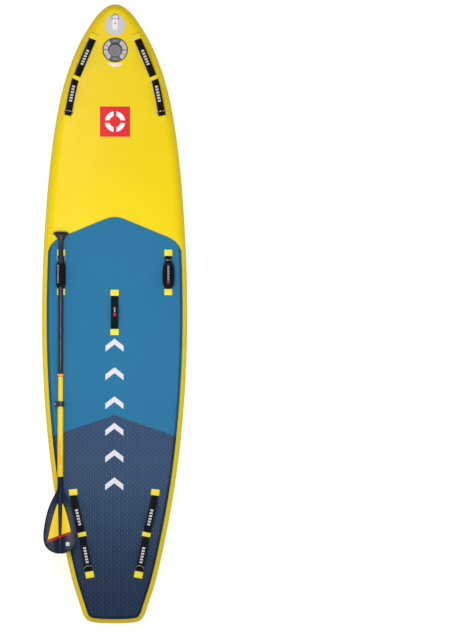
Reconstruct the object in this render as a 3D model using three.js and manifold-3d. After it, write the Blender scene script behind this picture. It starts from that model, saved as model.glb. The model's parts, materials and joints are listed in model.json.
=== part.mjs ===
// An inflatable rescue board: foam deck pad, carry handles, grab straps, two fins, a stowed paddle.
// Millimetres. +Y runs to the nose, +X to the right-hand rail, +Z up. The board lies on its fin tips and
// on the bottom just behind the nose curve, so its flat middle slopes down to the nose a little.
import * as THREE from 'three';
import { mergeVertices } from 'three/addons/utils/BufferGeometryUtils.js';
import Module from 'manifold-3d';

const wasm = await Module();
wasm.setup();

// Hull: a drop-stitch body of constant thickness with half-round rails
const boardLength = 3658;
const boardWidth = 864;
const hullThickness = 150;
const railReach = 52;
const noseRocker = 280;
const noseRockerLength = 1209;
const tailKick = 80;
const tailKickLength = 1029;
const tailCornerRadius = 70;
const tailEndShare = 0.4306;
const tailBow = 6;
const railSteps = 8;
const outlineSteps = 3;
// Share of the length behind the nose tip, and share of the half width there
const outlineShares = [
  [0.0016, 0.074], [0.0065, 0.149], [0.0155, 0.231], [0.03, 0.324], [0.055, 0.456], [0.09, 0.593],
  [0.135, 0.718], [0.19, 0.816], [0.26, 0.896], [0.34, 0.953], [0.43, 0.991], [0.52, 1],
  [0.61, 0.976], [0.7, 0.916], [0.78, 0.831], [0.86, 0.709], [0.93, 0.575], [0.972, 0.461],
];
const tailCornerDegrees = [28, 56, 84];

// Clearance between pieces that touch, and how far a cutting shape runs past what it cuts
const gap = 0.3;
const overrun = 40;

// Deck pad: foam glued to the deck and over the start of the rail
const padThickness = 5;
const padInset = 29;
const padFromNose = 1253;
const padChevronDrop = 106;
const padChevronInset = 147;
const padCornerInset = 40;
const padCornerDrop = 196;
const padPeakRound = 55;
const padSeam = 0.8;
const rearPadLength = 1230;
const padJointDrop = 111;
const padJointHalfWidth = 326;

// Webbing and the glued patches that hold it
const webThickness = 2.4;
const grabWebWidth = 42;
const sideWebWidth = 38;
const centreWebWidth = 44;
const webTuck = 7;
const patchThickness = 1.5;
const grabPatchFlange = 1.9;
const sidePatchFlange = 2.4;
const centrePatchFlange = 0.8;
const patchSideGap = 1.2;
const patchStep = 0.9;
const webSteps = 9;

// D-rings: round wire, a straight bar and an arc
const ringWire = 5;
const ringReach = 30;
const ringCornerRadius = 4;
const ringPastWeb = 4;
const noseRingInner = 34;
const ringSides = 6;
const ringArcSteps = 10;

// Grab straps: two hand loops each, between three patches
const loopHeight = 32;
const patchEndGap = 2.2;
// Ends of the three patches in turn: shares of the half width and of the half length
const frontGrabShares = [
  [0.273, 0.9065], [0.308, 0.8865], [0.518, 0.772], [0.544, 0.758], [0.646, 0.645], [0.667, 0.624],
];
const rearGrabShares = [
  [0.567, -0.566], [0.556, -0.588], [0.447, -0.705], [0.433, -0.721], [0.343, -0.831], [0.324, -0.854],
];
const ringFromPatch = 13;

// Side handles: webbing under two patches, through a padded cuff
const sideHandleInset = 114;
const sidePatchLength = 37;
const trappedRingFromPatch = 6.5;
const cuffFromRing = 3;
const cuffFromRearPatch = 7;
const cuffMiddleY = 230;
const cuffLength = 147;
const openCuffHalfWidth = 30;
const openCuffHalfHeight = 5;
const openCuffWall = 6;
const openCuffLift = 10;
const closedCuffHalfWidth = 22;
const closedCuffHalfHeight = 18.6;
const closedCuffWall = 5;
const closedCuffCorner = 4.2;
const openCuffBarrelShare = 0.22;
const closedCuffBarrelShare = 0.03;
const cuffEndTaper = 20;
const cuffEndShare = 0.4;
const cuffRiseShare = 0.72;

// Centre handle
const centreFrontPatchY = 126;
const centreRearPatchY = -107;
const centrePatchLength = 36;
const centreArchHeight = 30;

// Nose fittings
const noseRingSetback = 88;
const noseTabLength = 62;
const noseTabWidth = 29;
const nosePatchSetback = 124;
const nosePatchRadius = 61;
const noseHullPatchSetback = 132;
const noseHullPatchRadius = 42;
const noseHullRingSetback = 107;
const noseHullTabLength = 46;
const tabFoldSteps = 9;

// Inflation valve
const valveSetback = 268;
const valvePlateRadius = 74.5;
const valvePlateThickness = 1.6;
const valvePlateRim = 5;
const valvePlateRise = 1.4;
const valveSpokes = 6;
const valveSpokeWidth = 5;
const valveFlangeRadius = 36;
const valveFlangeThickness = 3;
const valveBarrelRadius = 27;
const valveBoreRadius = 22;
const valveDepth = 55;
const valveFloor = 5;
const valveStemRadius = 3;
const valveButtonRadius = 9;
const valveButtonHeight = 6;
const valveButtonShare = 0.7;
const valveStemTravel = 5;
const valveSealRadius = 13;
const valveCapRadius = 36.5;
const valveCapHeight = 11;
const valveCapPlug = 7;
const valveCapPlugWall = 4;
const valveCapHollow = 2;
const valveCapBevel = 3;
const valveCapDishRadius = 18;
const valveCapDishBevel = 3.6;
const valveCapRibs = 12;
const valveCapRibDepth = 1.4;

// Paddle: its axis lies above the pad, along the board, and climbs a little from the cuff to the blade
const paddleAside = 1;
const paddleAxisHeight = 24.5;
const paddleTiltDegrees = 0.35;
const gripEnd = 488;
const gripNeck = 410;
const gripHalfWidth = 48;
const gripHalfThickness = 14.5;
// Share of the grip's length, then shares of its half width and half thickness there
const gripShares = [
  [0, 0.33, 1.06], [0.2, 0.33, 1.04], [0.38, 0.37, 1.02], [0.55, 0.52, 1], [0.7, 0.77, 0.98],
  [0.8, 0.97, 0.88], [0.87, 1, 0.74], [0.94, 0.84, 0.52], [0.985, 0.6, 0.3], [1, 0.36, 0.12],
];
const spigotLength = 38;
const upperShaftRadius = 15.4;
const shaftWall = 1.5;
const collarFront = -354;
const collarLength = 18;
const collarRadius = 20;
const collarBevel = 2;
const collarLip = 3;
const clampFront = -518;
const clampLength = 32;
const clampRadius = 22.6;
const lowerShaftRadius = 17;
const lowerShaftEnd = -965;
const shaftRunningGap = 0.4;
const tubeOverlap = 230;
const leverThickness = 3;
const leverLength = 18;
const leverPivotX = 29;
const leverArcStart = 35;
const leverArcEnd = 182;
const leverBossRadius = 4.6;
const leverPinRadius = 2;
const clampLugThickness = 4.5;
const clampLugBite = 2;
const bladeStart = -1030;
const bladeEnd = -1419;
const bladeHalfWidth = 101;
const bladeDegrees = 9;
const bladeEdge = 3;
const bladeSpine = 8;
const bladeSpineReach = 15;
const bladeBackSpineShare = 0.33;
// Share of the blade's length from its neck, and share of its half width there
const bladeShares = [
  [0.06, 0.24], [0.16, 0.45], [0.3, 0.69], [0.44, 0.84], [0.6, 0.95], [0.74, 1], [0.84, 0.955],
  [0.91, 0.82], [0.96, 0.6], [0.99, 0.34], [1, 0.16],
];

// Places across a blade section, as shares of its half width
const bladeSectionShares = [1, 0.93, 0.6, 0.3, 0.13, 0, -0.13, -0.3, -0.6, -0.93];

// Fins: a leaf-shaped base glued to the bottom, a raked fin in its slot and a cross pin
const finX = 172;
const finFromTail = 364;
const finToeDegrees = 4;
const finBaseLength = 169;
const finBaseWidth = 35;
const finBaseHeight = 14;
// Shares of the base's length and of its height
const finBaseShares = [[1, 0], [0.985, 0.45], [0.93, 1]];
const finTabLength = 124;
const finTabThickness = 7;
const finTabDepth = 9;
const finDepth = 150;
const finTipBehind = 190;
const finTipChord = 26;
const finThickness = 9;
// Shares of the free depth, of the sweep, of the root's length and of the thickness
const finShares = [
  [0.02, 0, 1.06, 1], [0.2, 0.1, 1, 1], [0.42, 0.3, 0.86, 0.9], [0.64, 0.56, 0.68, 0.75],
  [0.82, 0.79, 0.52, 0.6], [0.94, 0.93, 0.37, 0.45], [1, 1, 0, 0.25],
];
const finPinRadius = 2.3;
const finPinBehind = 41;
const finPinHeadRadius = 4.5;
const finPinHeadLength = 5;
const finPinClear = 0.35;

const rad = THREE.MathUtils.degToRad;
const noseY = boardLength / 2;
const noseRockerStart = noseY - noseRockerLength;
const tailKickStart = noseY - tailKickLength;
const padPeak = noseY - padFromNose;
const padLift = gap + padThickness;
const sideHandleX = boardWidth / 2 - sideHandleInset;
const finY = finFromTail - noseY;

const colours = {
  hull: [0xf6d312, 0.42],
  padFront: [0x3278a1, 0.85],
  padRear: [0x30455f, 0.88],
  patch: [0xf8dc24, 0.45],
  web: [0x17171a, 0.8],
  cuff: [0x1b1b1e, 0.75],
  valve: [0x6d6a6e, 0.5],
  valvePlate: [0x85808a, 0.5],
  nosePatch: [0xcfd3cf, 0.5],
  shaftBlack: [0x151517, 0.35],
  paddleYellow: [0xf6c91f, 0.35],
  collar: [0xd8481c, 0.45],
  clamp: [0x26262a, 0.5],
  blade: [0x24253a, 0.4],
  fin: [0x9b3203, 0.45],
};

const board = new THREE.Group();

function material(name) {
  const [color, roughness] = colours[name];
  return new THREE.MeshStandardMaterial({ color, roughness });
}

const steel = new THREE.MeshStandardMaterial({ color: 0xb9bcc0, roughness: 0.22, metalness: 1 });

function add(name, geometry, look, parent = board) {
  const mesh = new THREE.Mesh(geometry, look.clone());
  mesh.name = name;
  parent.add(mesh);
  return mesh;
}

// Geometry helpers

function indexed(geometry) {
  const bare = geometry.clone();
  bare.deleteAttribute('normal');
  bare.deleteAttribute('uv');
  return mergeVertices(bare, 1e-4);
}

function volumeOf(geometry) {
  const at = geometry.getAttribute('position');
  const [a, b, c] = [new THREE.Vector3(), new THREE.Vector3(), new THREE.Vector3()];
  let sum = 0;
  for (let i = 0; i < geometry.index.count; i += 3) {
    a.fromBufferAttribute(at, geometry.index.getX(i));
    b.fromBufferAttribute(at, geometry.index.getX(i + 1));
    c.fromBufferAttribute(at, geometry.index.getX(i + 2));
    sum += a.dot(b.cross(c)) / 6;
  }
  return sum;
}

// The same closed surface with its faces turned outwards
function outward(geometry) {
  const merged = indexed(geometry);
  if (volumeOf(merged) < 0) {
    const order = merged.index.array;
    for (let i = 0; i < order.length; i += 3) [order[i + 1], order[i + 2]] = [order[i + 2], order[i + 1]];
  }
  merged.computeVertexNormals();
  return merged;
}

function manifold(geometry, matrix = new THREE.Matrix4()) {
  const placed = outward(geometry.clone().applyMatrix4(matrix));
  return new wasm.Manifold(new wasm.Mesh({
    numProp: 3,
    vertProperties: placed.getAttribute('position').array,
    triVerts: new Uint32Array(placed.index.array),
  }));
}

function geometryOf(solid) {
  const mesh = solid.getMesh();
  const geometry = new THREE.BufferGeometry();
  geometry.setAttribute('position', new THREE.BufferAttribute(new Float32Array(mesh.vertProperties), 3));
  geometry.setIndex(new THREE.BufferAttribute(new Uint32Array(mesh.triVerts), 1));
  geometry.computeVertexNormals();
  return geometry;
}

// A closed body through rings of points. Each ring starts at a point on its own line of symmetry,
// so the ends are capped by strips between the two sides.
function loft(rings, joined = false) {
  const count = rings[0].length;
  const order = [];
  for (let i = 0; i < rings.length - (joined ? 0 : 1); i += 1) {
    const here = i * count;
    const next = ((i + 1) % rings.length) * count;
    for (let j = 0; j < count; j += 1) {
      const k = (j + 1) % count;
      order.push(here + j, here + k, next + k, here + j, next + k, next + j);
    }
  }
  const cap = (start, turned) => {
    for (let i = 0; i < count / 2; i += 1) {
      const strip = [i, i + 1, count - i - 1, (count - i) % count];
      for (const [a, b, c] of [[strip[0], strip[1], strip[2]], [strip[0], strip[2], strip[3]]]) {
        if (a === b || b === c || a === c) continue;
        order.push(start + a, start + (turned ? c : b), start + (turned ? b : c));
      }
    }
  };
  if (!joined) {
    cap(0, true);
    cap((rings.length - 1) * count, false);
  }
  const geometry = new THREE.BufferGeometry().setFromPoints(rings.flat());
  geometry.setIndex(order);
  return outward(geometry);
}

function cylinder(radius, length, sides = 20) {
  return new THREE.CylinderGeometry(radius, radius, length, sides);
}

function lathe(profile, sides = 20) {
  return outward(new THREE.LatheGeometry(profile.map(([r, y]) => new THREE.Vector2(r, y)), sides));
}

// A ring of revolution about Y between two radii
function tube(inner, outer, from, to, sides = 20) {
  return lathe([[inner, from], [outer, from], [outer, to], [inner, to], [inner, from]], sides);
}

// A box given by its two corners
function block(low, high) {
  const size = high.map((v, i) => v - low[i]);
  const box = new THREE.BoxGeometry(...size);
  return box.translate(...low.map((v, i) => v + size[i] / 2));
}

// Hull surfaces

// Height of the bottom above its flat middle, before the board is set down on its fins
function rocker(y) {
  if (y > noseRockerStart) return noseRocker * ((y - noseRockerStart) / (noseY - noseRockerStart)) ** 2;
  if (y < -tailKickStart) return tailKick * ((y + tailKickStart) / (noseY - tailKickStart)) ** 2;
  return 0;
}

// The slope at which the fin tips and the front of the bottom touch the ground together
function restSlope() {
  const finSlope = 2 * tailKick * (finY + tailKickStart) / (noseY - tailKickStart) ** 2;
  const tipY = finY - finTipBehind;
  const tipZ = rocker(finY) - finSlope * finTipBehind - finDepth;
  const bend = (noseY - noseRockerStart) ** 2 / (4 * noseRocker);
  const run = noseRockerStart - tipY;
  return (Math.sqrt(run ** 2 - 4 * bend * tipZ) - run) / (2 * bend);
}

const settle = restSlope();

function bottomZ(y) {
  return rocker(y) - settle * y;
}

function outlineCurve() {
  const halfWidth = boardWidth / 2;
  const cornerX = halfWidth * tailEndShare - tailCornerRadius;
  const cornerY = tailBow + tailCornerRadius - noseY;
  const right = outlineShares.map(([along, across]) => [halfWidth * across, noseY - boardLength * along]);
  for (const degrees of tailCornerDegrees) {
    const turn = rad(degrees);
    right.push([cornerX + tailCornerRadius * Math.cos(turn), cornerY - tailCornerRadius * Math.sin(turn)]);
  }
  const left = right.map(([x, y]) => [-x, y]).reverse();
  const points = [[0, noseY], ...right, [0, -noseY], ...left].map(([x, y]) => new THREE.Vector3(x, y, 0));
  return new THREE.CatmullRomCurve3(points, true, 'centripetal');
}

// Points of the outline with their outward directions, from the nose tip round by the right-hand rail
function outlineStations() {
  const curve = outlineCurve();
  const count = curve.points.length * outlineSteps;
  return Array.from({ length: count }, (_, i) => {
    const point = curve.getPoint(i / count);
    const tangent = curve.getTangent(i / count);
    return { point, out: new THREE.Vector3(-tangent.y, tangent.x, 0) };
  });
}

const stations = outlineStations();

function insetPoint({ point, out }, inset) {
  return point.clone().addScaledVector(out, -inset);
}

// The hull's body, or the same body grown evenly by a layer
function hullBody(layer) {
  const reach = railReach + layer;
  const half = hullThickness / 2 + layer;
  const rings = [];
  for (let k = 0; k <= railSteps; k += 1) {
    const turn = rad(-90 + (180 * k) / railSteps);
    rings.push(stations.map((station) => {
      const p = insetPoint(station, reach * (1 - Math.cos(turn)) - layer);
      p.z = bottomZ(p.y) + hullThickness / 2 + half * Math.sin(turn);
      return p;
    }));
  }
  return loft(rings);
}

// The flat strips of deck and bottom run across the board between these rows
const rows = stations.slice(0, stations.length / 2 + 1).map((station) => {
  const { y } = insetPoint(station, railReach);
  return { y, z: bottomZ(y) };
});

function bottomAt(y) {
  const k = THREE.MathUtils.clamp(rows.findIndex((row) => row.y < y), 1, rows.length - 1);
  const share = (rows[k - 1].y - y) / (rows[k - 1].y - rows[k].y);
  return THREE.MathUtils.lerp(rows[k - 1].z, rows[k].z, share);
}

function deckAt(y) {
  return bottomAt(y) + hullThickness;
}

// A plane that rests on the deck (side 1) or the bottom (side -1), over a stretch along the board
function planeOver(y, reach, side) {
  const surface = side > 0 ? deckAt : bottomAt;
  const slope = (surface(y + reach) - surface(y - reach)) / (2 * reach);
  const base = (surface(y + reach) + surface(y - reach)) / 2;
  const between = rows.filter((row) => Math.abs(row.y - y) < reach);
  const proud = between.map((row) => side * (surface(row.y) - base - slope * (row.y - y)));
  return { z: base + side * Math.max(0, ...proud), slope };
}

// A group seated on that plane: its Y points along the heading, its Z out of the board
function seat(x, y, { headingDegrees = 0, reach, side = 1, lift = gap }) {
  const { z, slope } = planeOver(y, reach, side);
  const turn = rad(headingDegrees);
  const along = new THREE.Vector3(-Math.sin(turn), Math.cos(turn), slope * Math.cos(turn)).normalize();
  const out = new THREE.Vector3(0, -slope * side, side).normalize();
  const group = new THREE.Group();
  group.quaternion.setFromRotationMatrix(
    new THREE.Matrix4().makeBasis(new THREE.Vector3().crossVectors(along, out), along, out),
  );
  group.position.set(x, y, z).addScaledVector(out, lift);
  group.updateMatrix();
  board.add(group);
  return group;
}

// Deck pad

function prism(points, low, high) {
  const shape = new THREE.Shape(points.map(([x, y]) => new THREE.Vector2(x, y)));
  return new THREE.ExtrudeGeometry(shape, { depth: high - low, bevelEnabled: false }).translate(0, 0, low);
}

function padFrontEdge() {
  const chevronX = boardWidth / 2 - padChevronInset;
  const cornerX = boardWidth / 2 - padCornerInset;
  const shape = new THREE.Path();
  const slope = padChevronDrop / (chevronX - padPeakRound / 2);
  shape.moveTo(0, padPeak);
  shape.quadraticCurveTo(padPeakRound / 2, padPeak, padPeakRound, padPeak - (slope * padPeakRound) / 2);
  shape.lineTo(chevronX, padPeak - padChevronDrop);
  shape.quadraticCurveTo(
    cornerX - padInset / 2, padPeak - padChevronDrop - padInset,
    cornerX, padPeak - padCornerDrop,
  );
  return shape.getPoints(4).map((p) => [p.x, p.y]);
}

function padJointEdge(shift) {
  const slope = padJointDrop / padJointHalfWidth;
  const edge = boardWidth / 2 + overrun;
  const peak = rearPadLength - noseY + shift;
  return [[0, peak], [edge, peak - slope * edge]];
}

function mirrored(edge) {
  const left = edge.slice(1).map(([x, y]) => [-x, y]);
  return [...left.reverse(), ...edge];
}

// A layer of even thickness on the deck (side 1) or the bottom (side -1), kept inside a cutting shape
function skin(thickness, side, cutter) {
  const outer = hullBody(gap + thickness);
  const far = outer.clone().translate(0, 0, (-side * hullThickness) / 2);
  const layer = manifold(outer).subtract(manifold(hullBody(gap))).subtract(manifold(far));
  return layer.intersect(cutter);
}

function buildPads() {
  const top = hullThickness + noseRocker + overrun;
  const inset = stations.map((station) => insetPoint(station, padInset)).map((p) => [p.x, p.y]);
  const plan = manifold(prism(inset, -top, top));
  const tail = [boardWidth / 2 + overrun, -noseY - overrun];
  const edge = padFrontEdge();
  const wide = [...edge, [boardWidth / 2 + overrun, padPeak - padCornerDrop]];
  const front = [...mirrored(wide), ...mirrored(padJointEdge(padSeam / 2)).reverse()];
  const rear = [...mirrored(padJointEdge(-padSeam / 2)), tail, [-tail[0], tail[1]]];
  for (const [name, region, look] of [
    ['deck_pad_front', front, 'padFront'],
    ['deck_pad_rear', rear, 'padRear'],
  ]) {
    const cutter = plan.intersect(manifold(prism(region, -top, top)));
    add(name, geometryOf(skin(padThickness, 1, cutter)), material(look));
  }
}

// Webbing

// A strap laid along a plan curve. Its profile lists distance along the curve and height of its lower
// face over the deck; the thickness goes on at a right angle to the profile.
function strap(plan, profile, width, lift) {
  const length = plan.getLength();
  const line = profile.map(([s, h]) => new THREE.Vector2(s, h));
  const rings = line.map((point, i) => {
    const before = line[Math.max(i - 1, 0)];
    const after = line[Math.min(i + 1, line.length - 1)];
    const along = after.clone().sub(before).normalize();
    const upper = point.clone().add(new THREE.Vector2(-along.y, along.x).multiplyScalar(webThickness));
    const corner = (p, side) => {
      const share = THREE.MathUtils.clamp(p.x / length, 0, 1);
      const at = plan.getPointAt(share);
      const dir = plan.getTangentAt(share);
      const x = at.x + dir.y * side * width / 2;
      const y = at.y - dir.x * side * width / 2;
      return new THREE.Vector3(x, y, deckAt(y) + lift + p.y);
    };
    return [corner(point, -1), corner(point, 1), corner(upper, 1), corner(upper, -1)];
  });
  return loft(rings);
}

// Rise and fall of a hand loop between two places along a strap
function loopProfile(from, to, height) {
  return Array.from({ length: webSteps }, (_, i) => {
    const share = (i + 1) / (webSteps + 1);
    return [from + (to - from) * share, gap + height * Math.sin(Math.PI * share)];
  });
}

// A glued patch: two flanges on the board and a raised middle over the webbing
function patchGeometry(length, webWidth, flange) {
  const inner = webWidth / 2 + patchSideGap;
  const outer = inner + patchStep;
  const end = outer + flange;
  const rise = webThickness + 2 * gap;
  const right = [
    [end, 0], [outer, 0], [inner, rise], [0, rise],
  ];
  const upper = [
    [0, rise + patchThickness], [inner, rise + patchThickness], [outer + flange / 3, patchThickness],
    [end, patchThickness],
  ];
  const left = (edge) => edge.filter(([x]) => x > 0).map(([x, z]) => [-x, z]).reverse();
  const section = [...right, ...left(right), ...left(upper), ...upper];
  const flat = new THREE.Shape(section.map(([x, z]) => new THREE.Vector2(x, z)));
  const long = new THREE.ExtrudeGeometry(flat, { depth: length, bevelEnabled: false });
  return outward(long.rotateX(Math.PI / 2).translate(0, length / 2, 0));
}

function addPatch(name, x, y, { length, webWidth, flange, headingDegrees = 0, lift = 0 }) {
  const turn = Math.abs(rad(headingDegrees));
  const reach = (length * Math.cos(turn) + (webWidth + 2 * flange) * Math.sin(turn)) / 2 + patchStep;
  const group = seat(x, y, { headingDegrees, reach, lift: gap + lift });
  add(name, patchGeometry(length, webWidth, flange), material('patch'), group);
}

// D-rings

// A D of round wire in the XY plane: the bar lies on X, the arc reaches along +Y
function ringGeometry(innerWidth) {
  const half = (innerWidth + ringWire) / 2;
  const path = [];
  const corner = (cx, cy, from, to, steps, rx, ry) => {
    for (let i = 0; i <= steps; i += 1) {
      const turn = rad(from + ((to - from) * i) / steps);
      path.push(new THREE.Vector2(cx + rx * Math.cos(turn), cy + ry * Math.sin(turn)));
    }
  };
  corner(half - ringCornerRadius, ringCornerRadius, -90, 0, 2, ringCornerRadius, ringCornerRadius);
  corner(0, 2 * ringCornerRadius, 0, 180, ringArcSteps, half, ringReach - 2 * ringCornerRadius);
  corner(ringCornerRadius - half, ringCornerRadius, 180, 270, 2, ringCornerRadius, ringCornerRadius);
  const rings = path.map((p, i) => {
    const before = path[(i + path.length - 1) % path.length];
    const after = path[(i + 1) % path.length];
    const along = after.clone().sub(before).normalize();
    return Array.from({ length: ringSides }, (_, j) => {
      const turn = (2 * Math.PI * j) / ringSides;
      const side = (Math.cos(turn) * ringWire) / 2;
      return new THREE.Vector3(p.x + along.y * side, p.y - along.x * side, (Math.sin(turn) * ringWire) / 2);
    });
  });
  return loft(rings, true);
}

// Where the arc starts to cross a webbing that passes through the ring
function ringCrossing(innerWidth, webWidth) {
  const half = (innerWidth + ringWire) / 2;
  const arc = Math.sqrt(1 - (webWidth / 2 / half) ** 2);
  return 2 * ringCornerRadius + (ringReach - 2 * ringCornerRadius) * arc - ringWire / 2;
}

// The smallest angle at which the ring's arc clears the webbing that passes over its bar
function ringPitch(barS, crossing, profile, forward) {
  const heightAt = (s) => {
    const k = profile.findIndex(([at], i) => i > 0 && at >= s);
    const [[s0, h0], [s1, h1]] = [profile[k - 1], profile[k]];
    return { h: h0 + ((h1 - h0) * (s - s0)) / (s1 - s0), steep: Math.hypot(1, (h1 - h0) / (s1 - s0)) };
  };
  const clears = (degrees, reach) => {
    const { h, steep } = heightAt(barS + forward * reach * Math.cos(rad(degrees)));
    const needed = h + (webThickness + gap + ringWire / 2) * steep + 2 * gap;
    return gap + ringWire / 2 + reach * Math.sin(rad(degrees)) >= needed;
  };
  const reaches = [crossing, (crossing + ringReach) / 2, ringReach];
  let degrees = 0;
  while (degrees < 90 && !reaches.every((reach) => clears(degrees, reach))) degrees += 1;
  return degrees;
}

// Seats a ring with its bar on the deck at a distance along a plan curve
function addRing(name, plan, profile, { barS, webWidth, forward, lift, flat = false }) {
  const innerWidth = webWidth + ringPastWeb;
  const share = barS / plan.getLength();
  const at = plan.getPointAt(share);
  const dir = plan.getTangentAt(share).multiplyScalar(forward);
  const barH = gap + ringWire / 2;
  const headingDegrees = THREE.MathUtils.radToDeg(Math.atan2(-dir.x, dir.y));
  const reach = (innerWidth * Math.abs(dir.x)) / 2 + ringWire;
  const group = seat(at.x, at.y, { headingDegrees, reach, lift: lift + barH });
  const ring = add(name, ringGeometry(innerWidth), steel, group);
  if (!flat) ring.rotation.x = rad(ringPitch(barS, ringCrossing(innerWidth, webWidth), profile, forward));
}

// Grab straps

function addGrabStrap(name, side, shares, lift) {
  const points = shares.map(([across, along]) => new THREE.Vector3(
    (side * across * boardWidth) / 2, (along * boardLength) / 2, 0,
  ));
  const plan = new THREE.CatmullRomCurve3(points, false, 'centripetal');
  plan.arcLengthDivisions = 200;
  const parts = points.length - 1;
  const lengths = plan.getLengths(plan.arcLengthDivisions);
  const [first, second, third, fourth, length] = [1, 2, 3, 4, 5].map(
    (i) => lengths[(i * plan.arcLengthDivisions) / parts],
  );
  const profile = [
    [webTuck, gap], [first, gap],
    ...loopProfile(first, second, loopHeight),
    [second, gap], [third, gap],
    ...loopProfile(third, fourth, loopHeight),
    [fourth, gap], [length - webTuck, gap],
  ];
  add(`${name}_webbing`, strap(plan, profile, grabWebWidth, lift), material('web'));
  for (const [place, from, to] of [['front', 0, first], ['middle', second, third], ['rear', fourth, length]]) {
    const share = (from + to) / (2 * length);
    const at = plan.getPointAt(share);
    const dir = plan.getTangentAt(share);
    const headingDegrees = THREE.MathUtils.radToDeg(Math.atan2(dir.x, -dir.y));
    addPatch(`${name}_patch_${place}`, at.x, at.y, {
      length: to - from - 2 * patchEndGap, webWidth: grabWebWidth, flange: grabPatchFlange, headingDegrees, lift,
    });
  }
  addRing(`${name}_ring`, plan, profile, {
    barS: fourth - ringFromPatch, webWidth: grabWebWidth, forward: -1, lift,
  });
}

// Handles

function straightPlan(x, from, to) {
  return new THREE.LineCurve(new THREE.Vector2(x, from), new THREE.Vector2(x, to));
}

// A rounded rectangle with its outward directions, starting at the middle of its right side
function roundedRectangle(halfWidth, halfHeight, radius, steps) {
  const points = [];
  const corners = [
    [1, 1, 0], [-1, 1, 90], [-1, -1, 180], [1, -1, 270],
  ];
  for (const [sx, sz, start] of corners) {
    for (let i = 0; i <= steps; i += 1) {
      const turn = rad(start + (90 * i) / steps);
      const out = new THREE.Vector2(Math.cos(turn), Math.sin(turn));
      const centre = new THREE.Vector2(sx * (halfWidth - radius), sz * (halfHeight - radius));
      points.push({ at: centre.addScaledVector(out, radius), out });
    }
  }
  return points;
}

// A padded sleeve along Y whose ends thin down
function cuffGeometry({ halfWidth, halfHeight, radius, wall, barrelShare }) {
  const half = cuffLength / 2;
  const shoulder = (wall * (1 + cuffEndShare)) / 2;
  const section = [
    [0, -half], [0, 0], [0, half], [wall * cuffEndShare, half], [shoulder, half - cuffEndTaper / 4],
    [wall, half - cuffEndTaper], [wall, half / 3], [wall, -half / 3], [wall, cuffEndTaper - half],
    [shoulder, cuffEndTaper / 4 - half], [wall * cuffEndShare, -half],
  ];
  const rings = roundedRectangle(halfWidth, halfHeight, radius, 4).map(({ at, out }) => section.map(
    ([depth, y]) => {
      const narrowed = 1 - barrelShare * (y / half) ** 2;
      return new THREE.Vector3((at.x + out.x * depth) * narrowed, y, at.y + out.y * depth);
    },
  ));
  return loft(rings, true);
}

function addSideHandle(name, side, cuff) {
  const x = side * sideHandleX;
  const ringRoom = trappedRingFromPatch + ringReach + ringWire / 2 + cuffFromRing;
  const front = cuffMiddleY + cuffLength / 2 + ringRoom + sidePatchLength;
  const rear = cuffMiddleY - cuffLength / 2 - cuffFromRearPatch - sidePatchLength;
  const plan = straightPlan(x, front, rear);
  const along = (y) => front - y;
  const neck = along(front - sidePatchLength);
  const mouth = along(cuffMiddleY + cuffLength / 2);
  const exit = along(cuffMiddleY - cuffLength / 2);
  const foot = along(rear + sidePatchLength);
  const profile = [
    [webTuck, gap], [neck, gap], [neck + cuff.riseLength, cuff.riseHeight],
    [mouth, cuff.webHeight], [mouth + cuffEndTaper, cuff.webHeight],
    [exit - cuffEndTaper, cuff.webHeight], [exit - gap, cuff.exitHeight],
    [foot - patchEndGap, gap], [plan.getLength() - webTuck, gap],
  ];
  add(`${name}_webbing`, strap(plan, profile, sideWebWidth, padLift), material('web'));
  for (const [place, y] of [['front', front - sidePatchLength / 2], ['rear', rear + sidePatchLength / 2]]) {
    addPatch(`${name}_patch_${place}`, x, y, {
      length: sidePatchLength, webWidth: sideWebWidth, flange: sidePatchFlange, lift: padLift,
    });
  }
  const group = seat(x, cuffMiddleY, { reach: cuffLength / 2, lift: padLift + cuff.middleHeight });
  add(`${name}_cuff`, cuffGeometry(cuff), material('cuff'), group);
  addRing(`${name}_ring`, plan, profile, {
    barS: neck + cuff.ringFromPatch, webWidth: sideWebWidth, forward: 1, lift: padLift, flat: cuff.ringFlat,
  });
}

function buildHandles() {
  const openMiddle = openCuffLift + openCuffWall + openCuffHalfHeight;
  addSideHandle('right_handle', 1, {
    halfWidth: openCuffHalfWidth,
    halfHeight: openCuffHalfHeight,
    radius: openCuffHalfHeight,
    wall: openCuffWall,
    barrelShare: openCuffBarrelShare,
    middleHeight: openMiddle,
    webHeight: openMiddle - webThickness / 2,
    exitHeight: openMiddle - openCuffHalfHeight + gap,
    riseLength: 2 * ringFromPatch,
    riseHeight: openMiddle * cuffRiseShare,
    ringFromPatch,
    ringFlat: false,
  });
  const webHeight = gap + closedCuffWall + gap;
  addSideHandle('left_handle', -1, {
    halfWidth: closedCuffHalfWidth,
    halfHeight: closedCuffHalfHeight,
    radius: closedCuffCorner,
    wall: closedCuffWall,
    barrelShare: closedCuffBarrelShare,
    middleHeight: gap + closedCuffWall + closedCuffHalfHeight,
    webHeight: webHeight + gap,
    exitHeight: webHeight + gap,
    riseLength: ringWire,
    riseHeight: webHeight + gap + gap / 2,
    ringFromPatch: trappedRingFromPatch,
    ringFlat: true,
  });
  const front = centreFrontPatchY + centrePatchLength / 2;
  const rear = centreRearPatchY - centrePatchLength / 2;
  const plan = straightPlan(0, front, rear);
  const length = plan.getLength();
  const profile = [
    [webTuck, gap], [centrePatchLength, gap],
    ...loopProfile(centrePatchLength, length - centrePatchLength, centreArchHeight),
    [length - centrePatchLength, gap], [length - webTuck, gap],
  ];
  add('centre_handle_webbing', strap(plan, profile, centreWebWidth, padLift), material('web'));
  for (const [place, y] of [['front', centreFrontPatchY], ['rear', centreRearPatchY]]) {
    addPatch(`centre_handle_patch_${place}`, 0, y, {
      length: centrePatchLength, webWidth: centreWebWidth, flange: centrePatchFlange, lift: padLift,
    });
  }
}

// Nose fittings

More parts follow.
